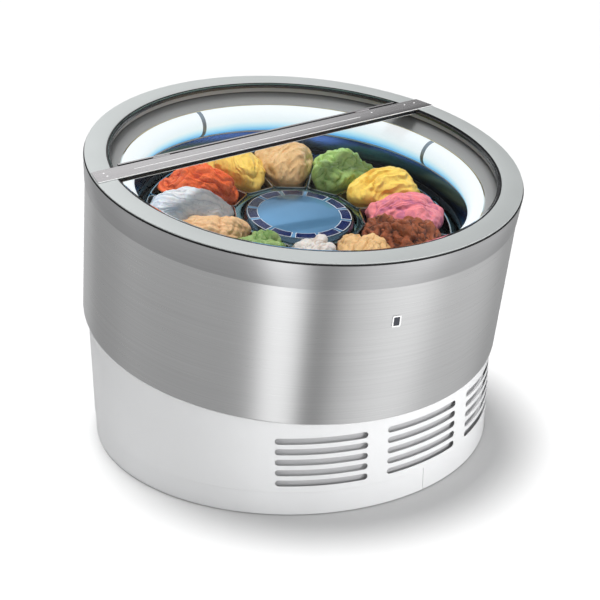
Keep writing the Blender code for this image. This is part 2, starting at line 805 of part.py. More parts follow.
def fan(name, radius, blades, hub_r, width, parent, location, rotation):
    """An axial rotor: a hub with flat pitched blades."""
    hub = cylinder(name, hub_r, width, parent, location, rotation, 20)
    finish(hub, (0.08, 0.08, 0.09), 0.4)
    for i in range(blades):
        bm = bmesh.new()
        bmesh.ops.create_cube(bm, size=1)
        length = radius - hub_r + 0.004
        bmesh.ops.scale(bm, vec=(length, hub_r * 1.1, 0.0022), verts=bm.verts)
        bmesh.ops.rotate(bm, matrix=Matrix.Rotation(radians(28), 3, "X"), verts=bm.verts)
        bmesh.ops.translate(bm, vec=(hub_r - 0.004 + length / 2, 0, 0), verts=bm.verts)
        bmesh.ops.rotate(bm, matrix=Matrix.Rotation(i * 2 * pi / blades, 3, "Z"), verts=bm.verts)
        boolean(hub, from_bmesh("blade", bm, parent, location, rotation), "UNION")
    return hub


def make_cooling():
    floor = PLATE_Z + PLATE_THICK + GAP
    dome = [(0, 0.250), (0.045, 0.247), (0.078, 0.228), (0.088, 0.195), (0.088, 0.100), (0.070, floor), (0, floor)]
    pump = turned("compressor", dome, BASE, ring=False, steps=24, location=(-0.22, 0.22, 0))
    finish(pump, (0.02, 0.02, 0.02), 0.35)
    coil = box("condenser", (-0.17, -0.54, floor), (0.17, -0.48, 0.250), BASE)
    bevel(coil, 0.003)
    finish(coil, (0.70, 0.71, 0.72), 0.4, 1.0)
    fan("condenser_fan", 0.078, 5, 0.024, 0.022, BASE, (0, -0.445, 0.165), (pi / 2, 0, 0))
    cold = box("evaporator", (-0.17, 0.29, WELL_FLOOR + 0.004), (0.17, 0.42, 0.208), DRUM)
    bevel(cold, 0.003)
    finish(cold, (0.72, 0.73, 0.75), 0.4, 1.0)
    fan("evaporator_fan", 0.072, 5, 0.022, 0.020, DRUM, (0, -0.30, 0.188), (0, 0, 0))


# ---------------------------------------------------------------- controls


def make_controls():
    panel = box(
        "control_panel",
        (-CONTROL_HALF_W, CONTROL_BACK, CONTROL_Z[0]),
        (CONTROL_HALF_W, CONTROL_FACE, CONTROL_Z[1]),
        BASE,
    )
    finish(panel, (0.03, 0.03, 0.035), 0.4)
    middle = sum(CONTROL_Z) / 2
    facing = (-pi / 2, 0, 0)
    travel_room = 0.0045
    for name, x in zip(("light_button", "cooling_button"), BUTTON_X):
        pocket = cylinder(
            "pocket", BUTTON_R + 0.0005, 0.030, BASE, (x, CONTROL_FACE + 0.002, middle), facing, 16
        )
        boolean(panel, pocket)
        inner = CONTROL_FACE - 0.013 + travel_room
        outer = CONTROL_FACE + BUTTON_REACH
        button = cylinder(
            name, BUTTON_R, outer - inner, BASE, (x, (inner + outer) / 2, middle), facing, 16
        )
        finish(button, (0.55, 0.56, 0.58), 0.35)
    slot_low = (ROCKER_X - 0.0115, CONTROL_FACE - 0.016, middle - 0.0165)
    slot_high = (ROCKER_X + 0.0115, CONTROL_FACE + 0.010, middle + 0.0165)
    boolean(panel, box("rocker_slot", slot_low, slot_high, BASE))
    rocker = [(-0.0150, 0.0025), (-0.0150, -0.0060), (0, -0.0080), (0.0150, -0.0060), (0.0150, 0.0025), (0, 0.0008)]
    bm = bmesh.new()
    ends = [bm.verts.new((-0.0105, y, z)) for z, y in rocker]
    face = bm.faces.new(ends)
    grown = bmesh.ops.extrude_face_region(bm, geom=[face])
    moved = [v for v in grown["geom"] if isinstance(v, bmesh.types.BMVert)]
    bmesh.ops.translate(bm, vec=(0.021, 0, 0), verts=moved)
    bmesh.ops.recalc_face_normals(bm, faces=bm.faces)
    switch = from_bmesh(
        "power_rocker", bm, BASE, (ROCKER_X, CONTROL_FACE, middle), (-ROCKER_SWING / 2, 0, 0)
    )
    finish(switch, (0.55, 0.03, 0.03), 0.3)

    inlet = inlet_block("power_inlet", (0.036, 0.030, 0.032), BASE_R - SHEET - 0.0175)
    boolean(inlet, inlet_block("inlet_recess", (0.026, 0.022, 0.020), BASE_R - SHEET - 0.0080))
    finish(inlet, (0.02, 0.02, 0.02), 0.45)


def inlet_block(name, size, reach):
    """A block centred reach from the base axis where the power inlet faces out."""
    turn = -asin(INLET_X / BASE_R)
    centre = (-reach * sin(turn), reach * cos(turn), INLET_Z)
    bm = bmesh.new()
    bmesh.ops.create_cube(bm, size=1)
    bmesh.ops.scale(bm, vec=size, verts=bm.verts)
    return from_bmesh(name, bm, BASE, centre, (0, 0, turn))


make_base()
make_skirt()
make_support_frame()
make_drum()
make_rim()
make_light()
make_well()
make_glass_top()
make_badge()
make_pans()
make_carousel()
make_drive()
make_cooling()
make_controls()
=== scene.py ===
"""Looks for the round gelato display cabinet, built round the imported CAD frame. Metres, +Z up.

Two local frames are used, as in the CAD: the base axis, and the drum frame, whose Z leans towards the
customers. A heading is an angle about Z counted from the customers' side, positive towards +X.
"""

from math import asin, cos, degrees, hypot, pi, radians, sin, tan

import bmesh
import bpy
from mathutils import Matrix, Vector, noise


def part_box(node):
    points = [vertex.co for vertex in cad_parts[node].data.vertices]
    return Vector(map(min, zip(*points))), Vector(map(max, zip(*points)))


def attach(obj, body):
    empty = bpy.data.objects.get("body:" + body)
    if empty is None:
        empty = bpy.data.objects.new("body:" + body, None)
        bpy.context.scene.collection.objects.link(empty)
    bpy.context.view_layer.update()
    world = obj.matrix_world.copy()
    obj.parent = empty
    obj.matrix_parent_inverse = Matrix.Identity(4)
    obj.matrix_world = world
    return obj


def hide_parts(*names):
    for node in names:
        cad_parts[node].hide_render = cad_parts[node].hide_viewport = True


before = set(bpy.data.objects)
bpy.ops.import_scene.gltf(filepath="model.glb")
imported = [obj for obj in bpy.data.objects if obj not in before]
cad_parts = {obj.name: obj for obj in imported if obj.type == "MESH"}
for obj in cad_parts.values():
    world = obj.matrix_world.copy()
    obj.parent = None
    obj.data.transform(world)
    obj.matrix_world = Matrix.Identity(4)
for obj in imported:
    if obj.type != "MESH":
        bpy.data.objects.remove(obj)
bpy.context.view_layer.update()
bpy.context.scene.view_settings.view_transform = "Standard"

# ---------------------------------------------------------------- frames and sizes

TILT = radians(8.5)
DRUM_HEIGHT = 0.392  # floor to the drum's lower edge, on the base axis
BASE_Y = sum(v.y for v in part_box("base_plate")) / 2
DRUM = Matrix.Translation((0, BASE_Y, DRUM_HEIGHT)) @ Matrix.Rotation(TILT, 4, "X")
BASE = Matrix.Translation((0, BASE_Y, 0))

SHEET = 0.0015
SKIRT_R = 0.656
SKIRT_FOOT = 0.0795
KICK_R, KICK_FOOT, KICK_TOP = 0.654, 0.003, 0.0785
SERVICE_EDGE = radians(142)
SEAM_WIDTH = 0.0008
SEAM = SEAM_WIDTH / SKIRT_R
SLOT_LENGTH, SLOT_HEIGHT, SLOT_PITCH, SLOT_LOWEST = 0.276, 0.021, 0.035, 0.111
SLOT_GROUP = radians(29.9)  # from one group of slots to the next
SLOPE_POINT = Vector((0, 0, DRUM_HEIGHT)) + 0.015 * Vector((0, -sin(TILT), cos(TILT)))

# From here on, heights and lengths across the drum are in the drum frame.
TOP = 0.535
SHELL_R, SHELL_TOP, SHELL_FOOT_R, SHELL_FILLET = 0.6725, 0.4497, 0.6650, 0.006
GLASS_R, GLASS_LOW, GLASS_TOP = 0.602, 0.5287, 0.5347
PANE_REAR, FLAP_FRONT = 0.1307, 0.2012
BAR_R, BAR_FRONT, BAR_REAR, BAR_LOW = 0.6735, 0.128, 0.1952, 0.5353
BAR_TOP = BAR_LOW + 0.004
HINGE_X, HINGE_Y, HINGE_Z = 0.40, 0.1985, 0.5385
LIGHT_CENTRE, LIGHT_R, LIGHT_INNER_R = (0.5665, 0.4235), 0.045, 0.042
LIGHT_STRIPS = 4
BADGE_ANGLE, BADGE_R, BADGE_Z = -radians(14.4), 0.6739, 0.3385

PANS = 12
PAN_PITCH = radians(30)
HALF = PAN_PITCH / 2
RIM_Z = 0.332  # the pans' rims
PAN_DEPTH = 0.112
PAN_INNER, PAN_OUTER, PAN_CORNER = 0.200, 0.485, 0.0162
PAN_GAP = 0.0013  # from a pan's flange to the line between two pans
FLANGE_FOOT = 0.3281
HUB_TOP = 0.3365
TAG_R, TAG_FOOT = 0.1495, 0.33655

FINE = 288  # steps round a turned piece
AROUND, RINGS = 168, 66  # points round a heap of gelato, and loops of them up to its top
EVEN = (1, 1, 1)  # a texture that isn't stretched
BRUSH_LINES = 900

# ---------------------------------------------------------------- node helpers


class Look:
    """A Principled material with its node tree at hand. Textures are in the piece's own coordinates."""

    def __init__(self, name, colour, roughness, metallic=0.0, **sockets):
        self.material = bpy.data.materials.new(name)
        self.material.use_nodes = True
        self.tree = self.material.node_tree
        self.shader = self.tree.nodes["Principled BSDF"]
        self.set("Base Color", (*colour, 1))
        self.set("Roughness", roughness)
        self.set("Metallic", metallic)
        for socket, value in sockets.items():
            self.set(socket.replace("_", " "), value)
        self.colour = colour
        self.roughness = roughness
        self.bump_node = None

    def set(self, socket, value):
        self.shader.inputs[socket].default_value = value

    def add(self, kind, **values):
        node = self.tree.nodes.new("ShaderNode" + kind)
        for key, value in values.items():
            if hasattr(node, key):
                setattr(node, key, value)
            else:
                node.inputs[key.replace("_", " ")].default_value = value
        return node

    def link(self, source, target):
        self.tree.links.new(source, target)

    def coords(self, scale=EVEN):
        here = self.add("TexCoord")
        mapping = self.add("Mapping")
        mapping.inputs["Scale"].default_value = scale
        self.link(here.outputs["Object"], mapping.inputs["Vector"])
        return mapping.outputs["Vector"]

    def height(self):
        """How high the point lies in the piece's own frame."""
        here = self.add("TexCoord")
        parts = self.add("SeparateXYZ")
        self.link(here.outputs["Object"], parts.inputs["Vector"])
        return parts.outputs["Z"]

    def noise(self, scale, stretch=EVEN, detail=4.0, roughness=0.55, distortion=0.0):
        node = self.add("TexNoise", Scale=scale, Detail=detail, Roughness=roughness, Distortion=distortion)
        self.link(self.coords(stretch), node.inputs["Vector"])
        return node.outputs["Fac"]

    def waves(self, scale, direction):
        node = self.add("TexWave", Scale=scale, wave_type="BANDS", bands_direction=direction)
        self.link(self.coords(), node.inputs["Vector"])
        return node.outputs["Fac"]

    def ranged(self, source, low, high, from_low=0.3, from_high=0.7, smooth=False):
        node = self.add("MapRange")
        node.interpolation_type = "SMOOTHSTEP" if smooth else "LINEAR"
        for socket, value in (
            ("From Min", from_low),
            ("From Max", from_high),
            ("To Min", low),
            ("To Max", high),
        ):
            node.inputs[socket].default_value = value
        self.link(source, node.inputs["Value"])
        return node.outputs["Result"]

    def mixed(self, factor, first, second):
        """From the first colour to the second. The first may be another node's output."""
        node = self.add("Mix", data_type="RGBA")
        if isinstance(first, bpy.types.NodeSocket):
            self.link(first, node.inputs[6])
        else:
            node.inputs[6].default_value = (*first, 1)
        node.inputs[7].default_value = (*second, 1)
        self.link(factor, node.inputs[0])
        return node.outputs[2]

    def ramp(self, source, stops):
        """A colour ramp through stops of (place, colour)."""
        node = self.add("ValToRGB")
        elements = node.color_ramp.elements
        while len(elements) < len(stops):
            elements.new(0.5)
        for element, (place, colour) in zip(elements, stops):
            element.position = place
            element.color = (*colour, 1)
        self.link(source, node.inputs["Fac"])
        return node.outputs["Color"]

    def coloured(self, source):
        self.link(source, self.shader.inputs["Base Color"])

    def mottle(self, scale, amount, stretch=EVEN):
        """Slight changes of colour over the surface."""
        low = [c * (1 - amount) for c in self.colour]
        high = [min(c * (1 + amount), 1) for c in self.colour]
        self.coloured(self.mixed(self.ranged(self.noise(scale, stretch, 3.0), 0, 1), low, high))

    def worn(self, scale, spread, stretch=EVEN):
        """Roughness that wanders by spread either way."""
        low = max(self.roughness - spread, 0.02)
        source = self.ranged(self.noise(scale, stretch, 4.0), low, self.roughness + spread)
        self.link(source, self.shader.inputs["Roughness"])

    def bump(self, source, height, strength=1.0):
        """Adds relief of the given height, in metres, over the bumps made before."""
        node = self.add("Bump", Strength=strength, Distance=height)
        self.link(source, node.inputs["Height"])
        if self.bump_node:
            self.link(self.bump_node.outputs["Normal"], node.inputs["Normal"])
        self.link(node.outputs["Normal"], self.shader.inputs["Normal"])
        self.bump_node = node

    def grained(self, scale, height, stretch=EVEN, detail=2.0, strength=1.0):
        """Relief from noise."""
        self.bump(self.noise(scale, stretch, detail), height, strength)


def turned_steel(name, colour, roughness, spread=0.03, anisotropy=0.0, metallic=1.0):
    """Steel brushed along its circumference: fine level lines, which draw reflections out up and down."""
    look = Look(name, colour, roughness, metallic)
    stretch = (0.004, 0.004, 1)
    look.worn(BRUSH_LINES, spread, stretch)
    look.mottle(BRUSH_LINES * 0.6, 0.05, stretch)
    look.grained(BRUSH_LINES, 0.00004, stretch)
    if anisotropy:
        look.set("Anisotropic", anisotropy)
        look.set("Anisotropic Rotation", 0.25)
        tangent = look.add("Tangent", direction_type="RADIAL", axis="Z")
        look.link(tangent.outputs["Tangent"], look.shader.inputs["Tangent"])
    return look.material


def straight_steel(name, colour, roughness, spread):
    """Steel brushed along X."""
    look = Look(name, colour, roughness, 1.0)
    stretch = (0.006, 1, 1)
    look.worn(BRUSH_LINES, spread, stretch)
    look.mottle(BRUSH_LINES * 0.5, 0.06, stretch)
    look.grained(BRUSH_LINES, 0.00004, stretch)
    return look.material


def paint(name, colour, roughness):
    look = Look(name, colour, roughness, Coat_Weight=0.3, Coat_Roughness=0.12)
    look.worn(9, 0.05)
    look.mottle(5, 0.012)
    look.grained(420, 0.00006, strength=0.5)
    return look.material


def plastic(name, colour, roughness, grain=700, height=0.00005, **sockets):
    look = Look(name, colour, roughness, **sockets)
    look.worn(40, 0.06)
    look.mottle(25, 0.08)
    look.grained(grain, height, strength=0.6)
    return look.material


def cast_metal(name, colour, roughness, metallic=1.0):
    look = Look(name, colour, roughness, metallic)
    look.worn(60, 0.10)
    look.mottle(35, 0.10)
    look.grained(500, 0.00012)
    return look.material


def tinted_mirror(name, colour, roughness, metallic=1.0):
    """Polished sheet with a faint level grain."""
    look = Look(name, colour, roughness, metallic)
    stretch = (0.05, 0.05, 1)
    look.worn(400, 0.03, stretch)
    look.mottle(6, 0.10)
    look.grained(400, 0.00002, stretch)
    return look.material


def fins(name, direction):
    """A stack of thin metal fins, side by side in the direction given, with painted shade in the gaps
    between them.
    """
    look = Look(name, (0.66, 0.67, 0.68), 0.35, 1.0)
    wave = look.waves(230.0, direction)
    look.bump(wave, 0.0008)
    look.worn(30, 0.08)
    # The dark bands are painted shade in the gaps between the fins.
    look.coloured(look.mixed(wave, (0.20, 0.20, 0.21), (0.74, 0.75, 0.76)))
    return look.material


def foam():
    look = Look("insulation_foam", (0.80, 0.68, 0.40), 0.9)
    cells = look.add("TexVoronoi", Scale=260.0)
    look.link(look.coords(), cells.inputs["Vector"])
    look.bump(cells.outputs["Distance"], 0.0006)
    look.mottle(18, 0.12)
    return look.material


def filter_mesh():
    """A woven wire filter: two crossing sets of fine wires."""
    look = Look("intake_mesh", (0.80, 0.80, 0.81), 0.5)
    both = look.add("Math", operation="MULTIPLY")
    look.link(look.waves(160.0, "Z"), both.inputs[0])
    look.link(look.waves(160.0, "X"), both.inputs[1])
    look.bump(both.outputs["Value"], 0.0004)
    look.coloured(look.mixed(both.outputs["Value"], (0.50, 0.50, 0.51), (0.66, 0.66, 0.67)))
    return look.material


def glass(name):
    """Anti-reflective glass, so its refractive index is low."""
    look = Look(name, (0.985, 1.0, 0.995), 0.0, Transmission_Weight=1.0, IOR=1.06)
    look.set("Specular IOR Level", 0.15)
    look.grained(14, 0.000004, strength=0.2)
    return look.material


def lit_diffuser():
    """Opal acrylic lit from behind: white over most of its curve, cyan blue towards its lower edge."""
    look = Look("lit_opal_diffuser", (0.10, 0.13, 0.15), 0.35)
    level = look.add("Math", operation="MULTIPLY_ADD")
    look.link(look.noise(3.0, (1, 1, 0.4), 2.0), level.inputs[0])
    level.inputs[1].default_value = 0.016
    look.link(look.height(), level.inputs[2])
    stops = (
        (0.0, (0.05, 0.33, 0.78)),
        (0.16, (0.18, 0.58, 0.94)),
        (0.36, (0.50, 0.83, 1.0)),
        (0.58, (0.86, 0.96, 1.0)),
        (1.0, (0.97, 0.985, 1.0)),
    )
    glow = look.ramp(look.ranged(level.outputs["Value"], 0, 1, 0.393, 0.470), stops)
    look.link(glow, look.shader.inputs["Emission Color"])
    look.set("Emission Strength", 0.86)
    look.grained(300, 0.00003)
    return look.material


def well_blue_light_and_shade():
    """Polished steel tinted deep blue as painted light of the blue LED, and darker towards the floor as
    painted shade.
    """
    look = Look("well_steel_painted_blue_light", (0.10, 0.20, 0.36), 0.20, 1.0)
    # Painted light and shade: a blue cast for the LED's light, darkening towards the well's floor.
    rise = look.ranged(look.height(), 0, 1, 0.326, 0.379, True)
    look.coloured(look.mixed(rise, (0.03, 0.045, 0.085), (0.07, 0.15, 0.42)))
    stretch = (0.01, 0.01, 1)
    look.worn(500, 0.03, stretch)
    look.grained(500, 0.00003, stretch)
    return look.material


def collar_shaded_satin():
    """Satin grey sheet with shade painted into its grey: a slope that darkens upwards to a near-black line
    at the fold, under a pale upright rim.
    """
    look = Look("collar_satin_grey_painted_shade", (0.60, 0.60, 0.61), 0.50, 0.30)
    # Painted shade: the slope darkens upwards to a near-black line at the fold under the rim.
    shade_greys = ((0.0, 0.40), (0.35, 0.32), (0.56, 0.15), (0.64, 0.02), (0.67, 0.02), (0.70, 0.36), (1.0, 0.30))
    stops = [(place, (grey, grey, grey * 1.01)) for place, grey in shade_greys]
    look.coloured(look.ramp(look.ranged(look.height(), 0, 1, 0.470, 0.5187), stops))
    stretch = (0.004, 0.004, 1)
    look.worn(700, 0.05, stretch)
    look.grained(700, 0.00003, stretch)
    return look.material


# ---------------------------------------------------------------- materials

DRUM_STEEL = turned_steel("drum_brushed_steel", (0.80, 0.80, 0.80), 0.30, anisotropy=0.75)
# The band is a darker copy of the drum's steel: painted shade, making the band look darker than the drum.
BAND_STEEL_SHADED = turned_steel("band_brushed_steel_painted_shade", (0.66, 0.66, 0.665), 0.32, anisotropy=0.7)
RING_FINISH = turned_steel("ring_satin_aluminium", (0.66, 0.69, 0.685), 0.42, metallic=0.6)
LIP_FINISH = turned_steel("lip_warm_steel", (0.62, 0.54, 0.52), 0.28, 0.04)
BAR_STEEL = straight_steel("bar_brushed_steel", (0.74, 0.72, 0.73), 0.24, 0.04)
PIN_STEEL = straight_steel("pin_steel", (0.72, 0.72, 0.73), 0.22, 0.05)
WHITE_PAINT = paint("white_paint", (0.77, 0.775, 0.78), 0.34)
# White lacquer for the screws and the badge plate; the same white makes the crossbar's painted highlight
# strips.
WHITE_LACQUER_AND_HIGHLIGHT = paint("white_lacquer_and_painted_highlight", (0.90, 0.90, 0.90), 0.25)
FRAME_PAINT = paint("frame_paint", (0.08, 0.085, 0.09), 0.5)
GASKET = plastic("black_gasket", (0.012, 0.012, 0.013), 0.30)
GLOSS_BLACK = plastic("black_gloss", (0.008, 0.008, 0.010), 0.16, height=0.00001)
BEAM_BLACK = plastic(
    "beam_black", (0.007, 0.007, 0.009), 0.45, height=0.00002, Specular_IOR_Level=0.25
)
RUBBER = plastic("foot_rubber", (0.03, 0.03, 0.03), 0.75, grain=300, height=0.0002)
GLASS_RIM = plastic("ground_glass_rim", (0.16, 0.25, 0.23), 0.4)
CONTROL_BLACK = plastic("control_black", (0.025, 0.025, 0.028), 0.35)
BUTTON_GREY = plastic("button_grey", (0.42, 0.43, 0.45), 0.35)
ROCKER_RED = plastic("rocker_red", (0.45, 0.02, 0.02), 0.25)
FAN_PLASTIC = plastic("fan_plastic", (0.04, 0.04, 0.045), 0.45)
GEAR_PLASTIC = plastic("gear_plastic", (0.72, 0.72, 0.68), 0.5)
COMPRESSOR = plastic("compressor_black", (0.012, 0.012, 0.012), 0.3, Coat_Weight=0.5)
LED_BOARD = plastic("led_board", (0.80, 0.80, 0.74), 0.6)
STRIP_GREY = plastic("joint_strip_grey", (0.20, 0.25, 0.30), 0.35)
TAG_BLUE = plastic("tag_navy", (0.003, 0.012, 0.075), 0.14, height=0.00001)
TAG_WHITE = plastic("tag_white_line", (0.75, 0.76, 0.78), 0.3, height=0.00001)
BADGE_FACE = plastic("badge_face", (0.035, 0.038, 0.05), 0.2, height=0.00001)
BRASS = cast_metal("pinion_brass", (0.70, 0.52, 0.22), 0.3)
MOTOR = cast_metal("motor_black", (0.05, 0.05, 0.055), 0.45, 0.4)
BEARING = cast_metal("bearing_metal", (0.45, 0.46, 0.47), 0.35)
PLATE_STEEL = cast_metal("plate_galvanised", (0.50, 0.51, 0.52), 0.42)
# The deck's teal tint is painted light: polished metal shown as lit by the blue LED.
DECK = tinted_mirror("carousel_steel_painted_teal_light", (0.16, 0.30, 0.35), 0.10)
PAN_STEEL = tinted_mirror("pan_polished_steel", (0.46, 0.45, 0.45), 0.14)
HUB = tinted_mirror("hub_polished_blue", (0.15, 0.36, 0.62), 0.10, metallic=0.6)
HUB_EDGE = tinted_mirror("hub_edge_steel", (0.10, 0.17, 0.24), 0.16)
CLEAR = glass("clear_glass")
DIFFUSER = lit_diffuser()
WELL_PAINTED_LIGHT = well_blue_light_and_shade()
COLLAR_PAINTED_SHADE = collar_shaded_satin()
FILTER = filter_mesh()
FOAM = foam()
CONDENSER = fins("condenser_fins", "X")
EVAPORATOR = fins("evaporator_fins", "X")

# ---------------------------------------------------------------- shape helpers


def piece(name, mesh, material, body, matrix, replaces=(), sharp=30):
    """An object riding a body, smooth except at edges over sharp degrees and on large flat faces."""
    mesh.shade_smooth()
    mesh.set_sharp_from_angle(angle=radians(sharp))
    for face in mesh.polygons:
        if len(face.vertices) > 8:
            face.use_smooth = False
    obj = bpy.data.objects.new(name, mesh)
    bpy.context.scene.collection.objects.link(obj)
    obj.matrix_world = matrix
    if not mesh.materials:
        mesh.materials.append(material)
    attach(obj, body)
    if replaces:
        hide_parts(*replaces)
    return obj


def mesh_of(bm, name):
    bmesh.ops.recalc_face_normals(bm, faces=bm.faces)
    mesh = bpy.data.meshes.new(name)
    bm.to_mesh(mesh)
    bm.free()
    return mesh


def bridge(bm, loops, ends=(0, -1)):
    """Quads between closed loops of vertices, and a face over each of the loops named in ends."""
    count = len(loops[0])
    for lower, upper in zip(loops, loops[1:]):
        for i in range(count):
            j = (i + 1) % count
            bm.faces.new((lower[i], lower[j], upper[j], upper[i]))
    for end in ends:
        bm.faces.new(loops[end])


def turned_mesh(name, profile, steps=FINE, closed=True, start=None, end=None):
    """A profile of (radius, height) swept about Z, all round or between two headings."""
    bm = bmesh.new()
    full = start is None
    first, last = (0.0, 2 * pi) if full else (start, end)
    count = steps if full else steps + 1
    rows = []
    for i in range(count):
        a = first + (last - first) * i / steps
        rows.append([bm.verts.new((r * sin(a), -r * cos(a), z)) for r, z in profile])
    n = len(profile)
    spans = range(n if closed else n - 1)
    for i in range(steps):
        here, there = rows[i], rows[(i + 1) % count]
        for j in spans:
            k = (j + 1) % n
            bm.faces.new((here[j], here[k], there[k], there[j]))
    if closed and not full:
        bm.faces.new(rows[0])
        bm.faces.new(rows[-1])
    bmesh.ops.remove_doubles(bm, verts=bm.verts, dist=1e-7)
    return mesh_of(bm, name)


def rounded(profile, radius):
    """The closed profile with each corner rounded."""
    steps = 3
    out = []
    n = len(profile)
    for i, point in enumerate(profile):
        p = Vector(point)
        before = Vector(profile[i - 1]) - p
        after = Vector(profile[(i + 1) % n]) - p
        reach = min(radius, before.length * 0.45, after.length * 0.45)
        a = p + before.normalized() * reach
        b = p + after.normalized() * reach
        for s in range(steps + 1):
            t = s / steps
            out.append(tuple(a * (1 - t) ** 2 + p * 2 * t * (1 - t) + b * t * t))
    return out


def offset(path, distance):
    """The open path moved to its left."""
    moved = []
    for i, point in enumerate(path):
        before = path[max(i - 1, 0)]
        after = path[min(i + 1, len(path) - 1)]
        first = Vector(point) - Vector(before) if i else Vector(after) - Vector(point)
        second = Vector(after) - Vector(point) if i < len(path) - 1 else first
        n1 = Vector((-first.y, first.x)).normalized()
        n2 = Vector((-second.y, second.x)).normalized()
        middle = (n1 + n2).normalized()
        moved.append(tuple(Vector(point) + middle * distance / middle.dot(n1)))
    return moved


def sheet(path):
    """The closed profile of sheet metal along a path and to its right."""
    return path + offset(path, -SHEET)[::-1]


def arc(centre, radius, start, end, steps):
    """Points round a centre, between two angles in degrees."""
    turn = [radians(start + (end - start) * i / steps) for i in range(steps + 1)]
    return [(centre[0] + radius * cos(a), centre[1] + radius * sin(a)) for a in turn]


def box_bm(bm, low, high):
    """Adds a box to bm, between two opposite corners."""
    made = bmesh.ops.create_cube(bm, size=1)["verts"]
    size = Vector(high) - Vector(low)
    bmesh.ops.scale(bm, vec=size, verts=made)
    bmesh.ops.translate(bm, vec=(Vector(high) + Vector(low)) / 2, verts=made)
    return made


def plate_mesh(name, outline, low, high, edge=0.0, steps=2):
    """An outline of (x, y) points between two heights, its upper and lower edges rounded."""
    bm = bmesh.new()
    levels = [(0.0, low), (0.0, high)]
    if edge:
        turns = [radians(90 * i / steps) for i in range(steps + 1)]
        levels = [(edge * (1 - sin(a)), low + edge * (1 - cos(a))) for a in turns]
        levels += [(edge * (1 - cos(a)), high - edge * (1 - sin(a))) for a in turns]
    loops = []
    for inset, z in levels:
        points = shrink(outline, inset) if inset > 1e-9 else outline
        loops.append([bm.verts.new((x, y, z)) for x, y in points])
    bridge(bm, loops)
    return mesh_of(bm, name)


def shrink(outline, distance):
    """The closed, counter-clockwise outline moved inwards."""
    n = len(outline)
    out = []
    for i in range(n):
        p = Vector(outline[i])
        e1 = (p - Vector(outline[i - 1])).normalized()
        e2 = (Vector(outline[(i + 1) % n]) - p).normalized()
        n1, n2 = Vector((-e1.y, e1.x)), Vector((-e2.y, e2.x))
        middle = (n1 + n2).normalized()
        out.append(tuple(p + middle * distance / max(middle.dot(n1), 0.4)))
    return out


def segment(radius, front, rear):
    """The part of a disc with front <= y <= rear, counter-clockwise."""
    low = degrees(asin(max(front / radius, -1)))
    high = degrees(asin(min(rear / radius, 1)))
    count = max(int((high - low) / 1.5), 2)
    angles = [low + (high - low) * i / count for i in range(count + 1)]
    right = [(radius * cos(radians(a)), radius * sin(radians(a))) for a in angles]
    both = right + [(-x, y) for x, y in right[::-1]]
    before = both[-1:] + both
    return [p for p, q in zip(both, before) if hypot(p[0] - q[0], p[1] - q[1]) > 1e-6]


def cut(mesh, cutter_bm, name):
    """The mesh with the cutter's solids taken out of it."""
    body = bpy.data.objects.new(name + "_body", mesh)
    tool = bpy.data.objects.new(name + "_tool", mesh_of(cutter_bm, name + "_tool"))
    for obj in (body, tool):
        bpy.context.scene.collection.objects.link(obj)
    modifier = body.modifiers.new("cut", "BOOLEAN")
    modifier.operation = "DIFFERENCE"
    modifier.solver = "EXACT"
    modifier.object = tool
    graph = bpy.context.evaluated_depsgraph_get()
    result = bpy.data.meshes.new_from_object(body.evaluated_get(graph))
    bpy.data.objects.remove(body)
    bpy.data.objects.remove(tool)
    return result


def spot(bm, centre, radius, depth, axis, dome=0.0):
    """Adds a short cylinder to bm, its middle at centre. Dome narrows one end."""
    made = bmesh.ops.create_cone(
        bm, cap_ends=True, segments=24, radius1=radius, radius2=radius * (1 - dome), depth=depth
    )["verts"]
    turn = {
        "X": Matrix.Rotation(pi / 2, 4, "Y"),
        "Y": Matrix.Rotation(-pi / 2, 4, "X"),
        "Z": Matrix(),
    }[axis]
    bmesh.ops.transform(bm, matrix=Matrix.Translation(centre) @ turn, verts=made)
    return made


def add_mesh(bm, mesh, matrix=None):
    """Adds a mesh's faces to bm, moved by matrix, and removes the mesh."""
    if matrix is not None:
        mesh.transform(matrix)
    bm.from_mesh(mesh)
    bpy.data.meshes.remove(mesh)


def turned_piece(node, profile, material, corner=0.0, sharp=30):
    """A turned skin, in the drum frame, in place of a CAD node of the cabinet."""
    mesh = turned_mesh(node + "_skin", rounded(profile, corner) if corner else profile)
    piece(node + "_skin", mesh, material, "cabinet", DRUM, [node], sharp)


def heading(angle, reach, z):
    return Vector((reach * sin(angle), -reach * cos(angle), z))


# ---------------------------------------------------------------- base


def slope_height(x, y):
    """Height, in the base frame, of the leaning cut along the skirt's top."""
    return SLOPE_POINT.z + (y - SLOPE_POINT.y) * tan(TILT)


def curved_sheet(name, radius, low, high, start, end, thickness, columns):
    """A curved sheet with rounded rims. If high is None, its upper edge follows the slope."""
    bm = bmesh.new()
    r1, r0 = radius, radius - thickness
    soft = thickness * 0.3
    rows = []
    for i in range(columns + 1):
        a = start + (end - start) * i / columns
        top = slope_height(radius * sin(a), -radius * cos(a)) if high is None else high
        section = (
            (r1 - soft, low),
            (r1, low + soft),
            (r1, top - soft),
            (r1 - soft, top),
            (r0 + soft, top),
            (r0, top - soft),
            (r0, low + soft),
            (r0 + soft, low),
        )
        rows.append([bm.verts.new(heading(a, r, z)) for r, z in section])
    bridge(bm, rows)
    return mesh_of(bm, name)


def slots(bm, angles, length, rows):
    """Prisms with round ends, standing radially, one for each slot."""
    end = SLOT_HEIGHT / 2
    half = length / 2 - end
    for angle in angles:
        turn = Matrix.Rotation(angle, 4, "Z")
        for row in range(rows):
            z = SLOT_LOWEST + row * SLOT_PITCH
            outline = arc((half, z), end, -90, 90, 10) + arc((-half, z), end, 90, 270, 10)
            near = [bm.verts.new(turn @ Vector((x, -SKIRT_R - 0.05, h))) for x, h in outline]
            far = [bm.verts.new(turn @ Vector((x, -SKIRT_R + 0.07, h))) for x, h in outline]
            bridge(bm, (near, far))


def painted(name, mesh, node):
    piece(name, mesh, WHITE_PAINT, "cabinet", BASE, [node])


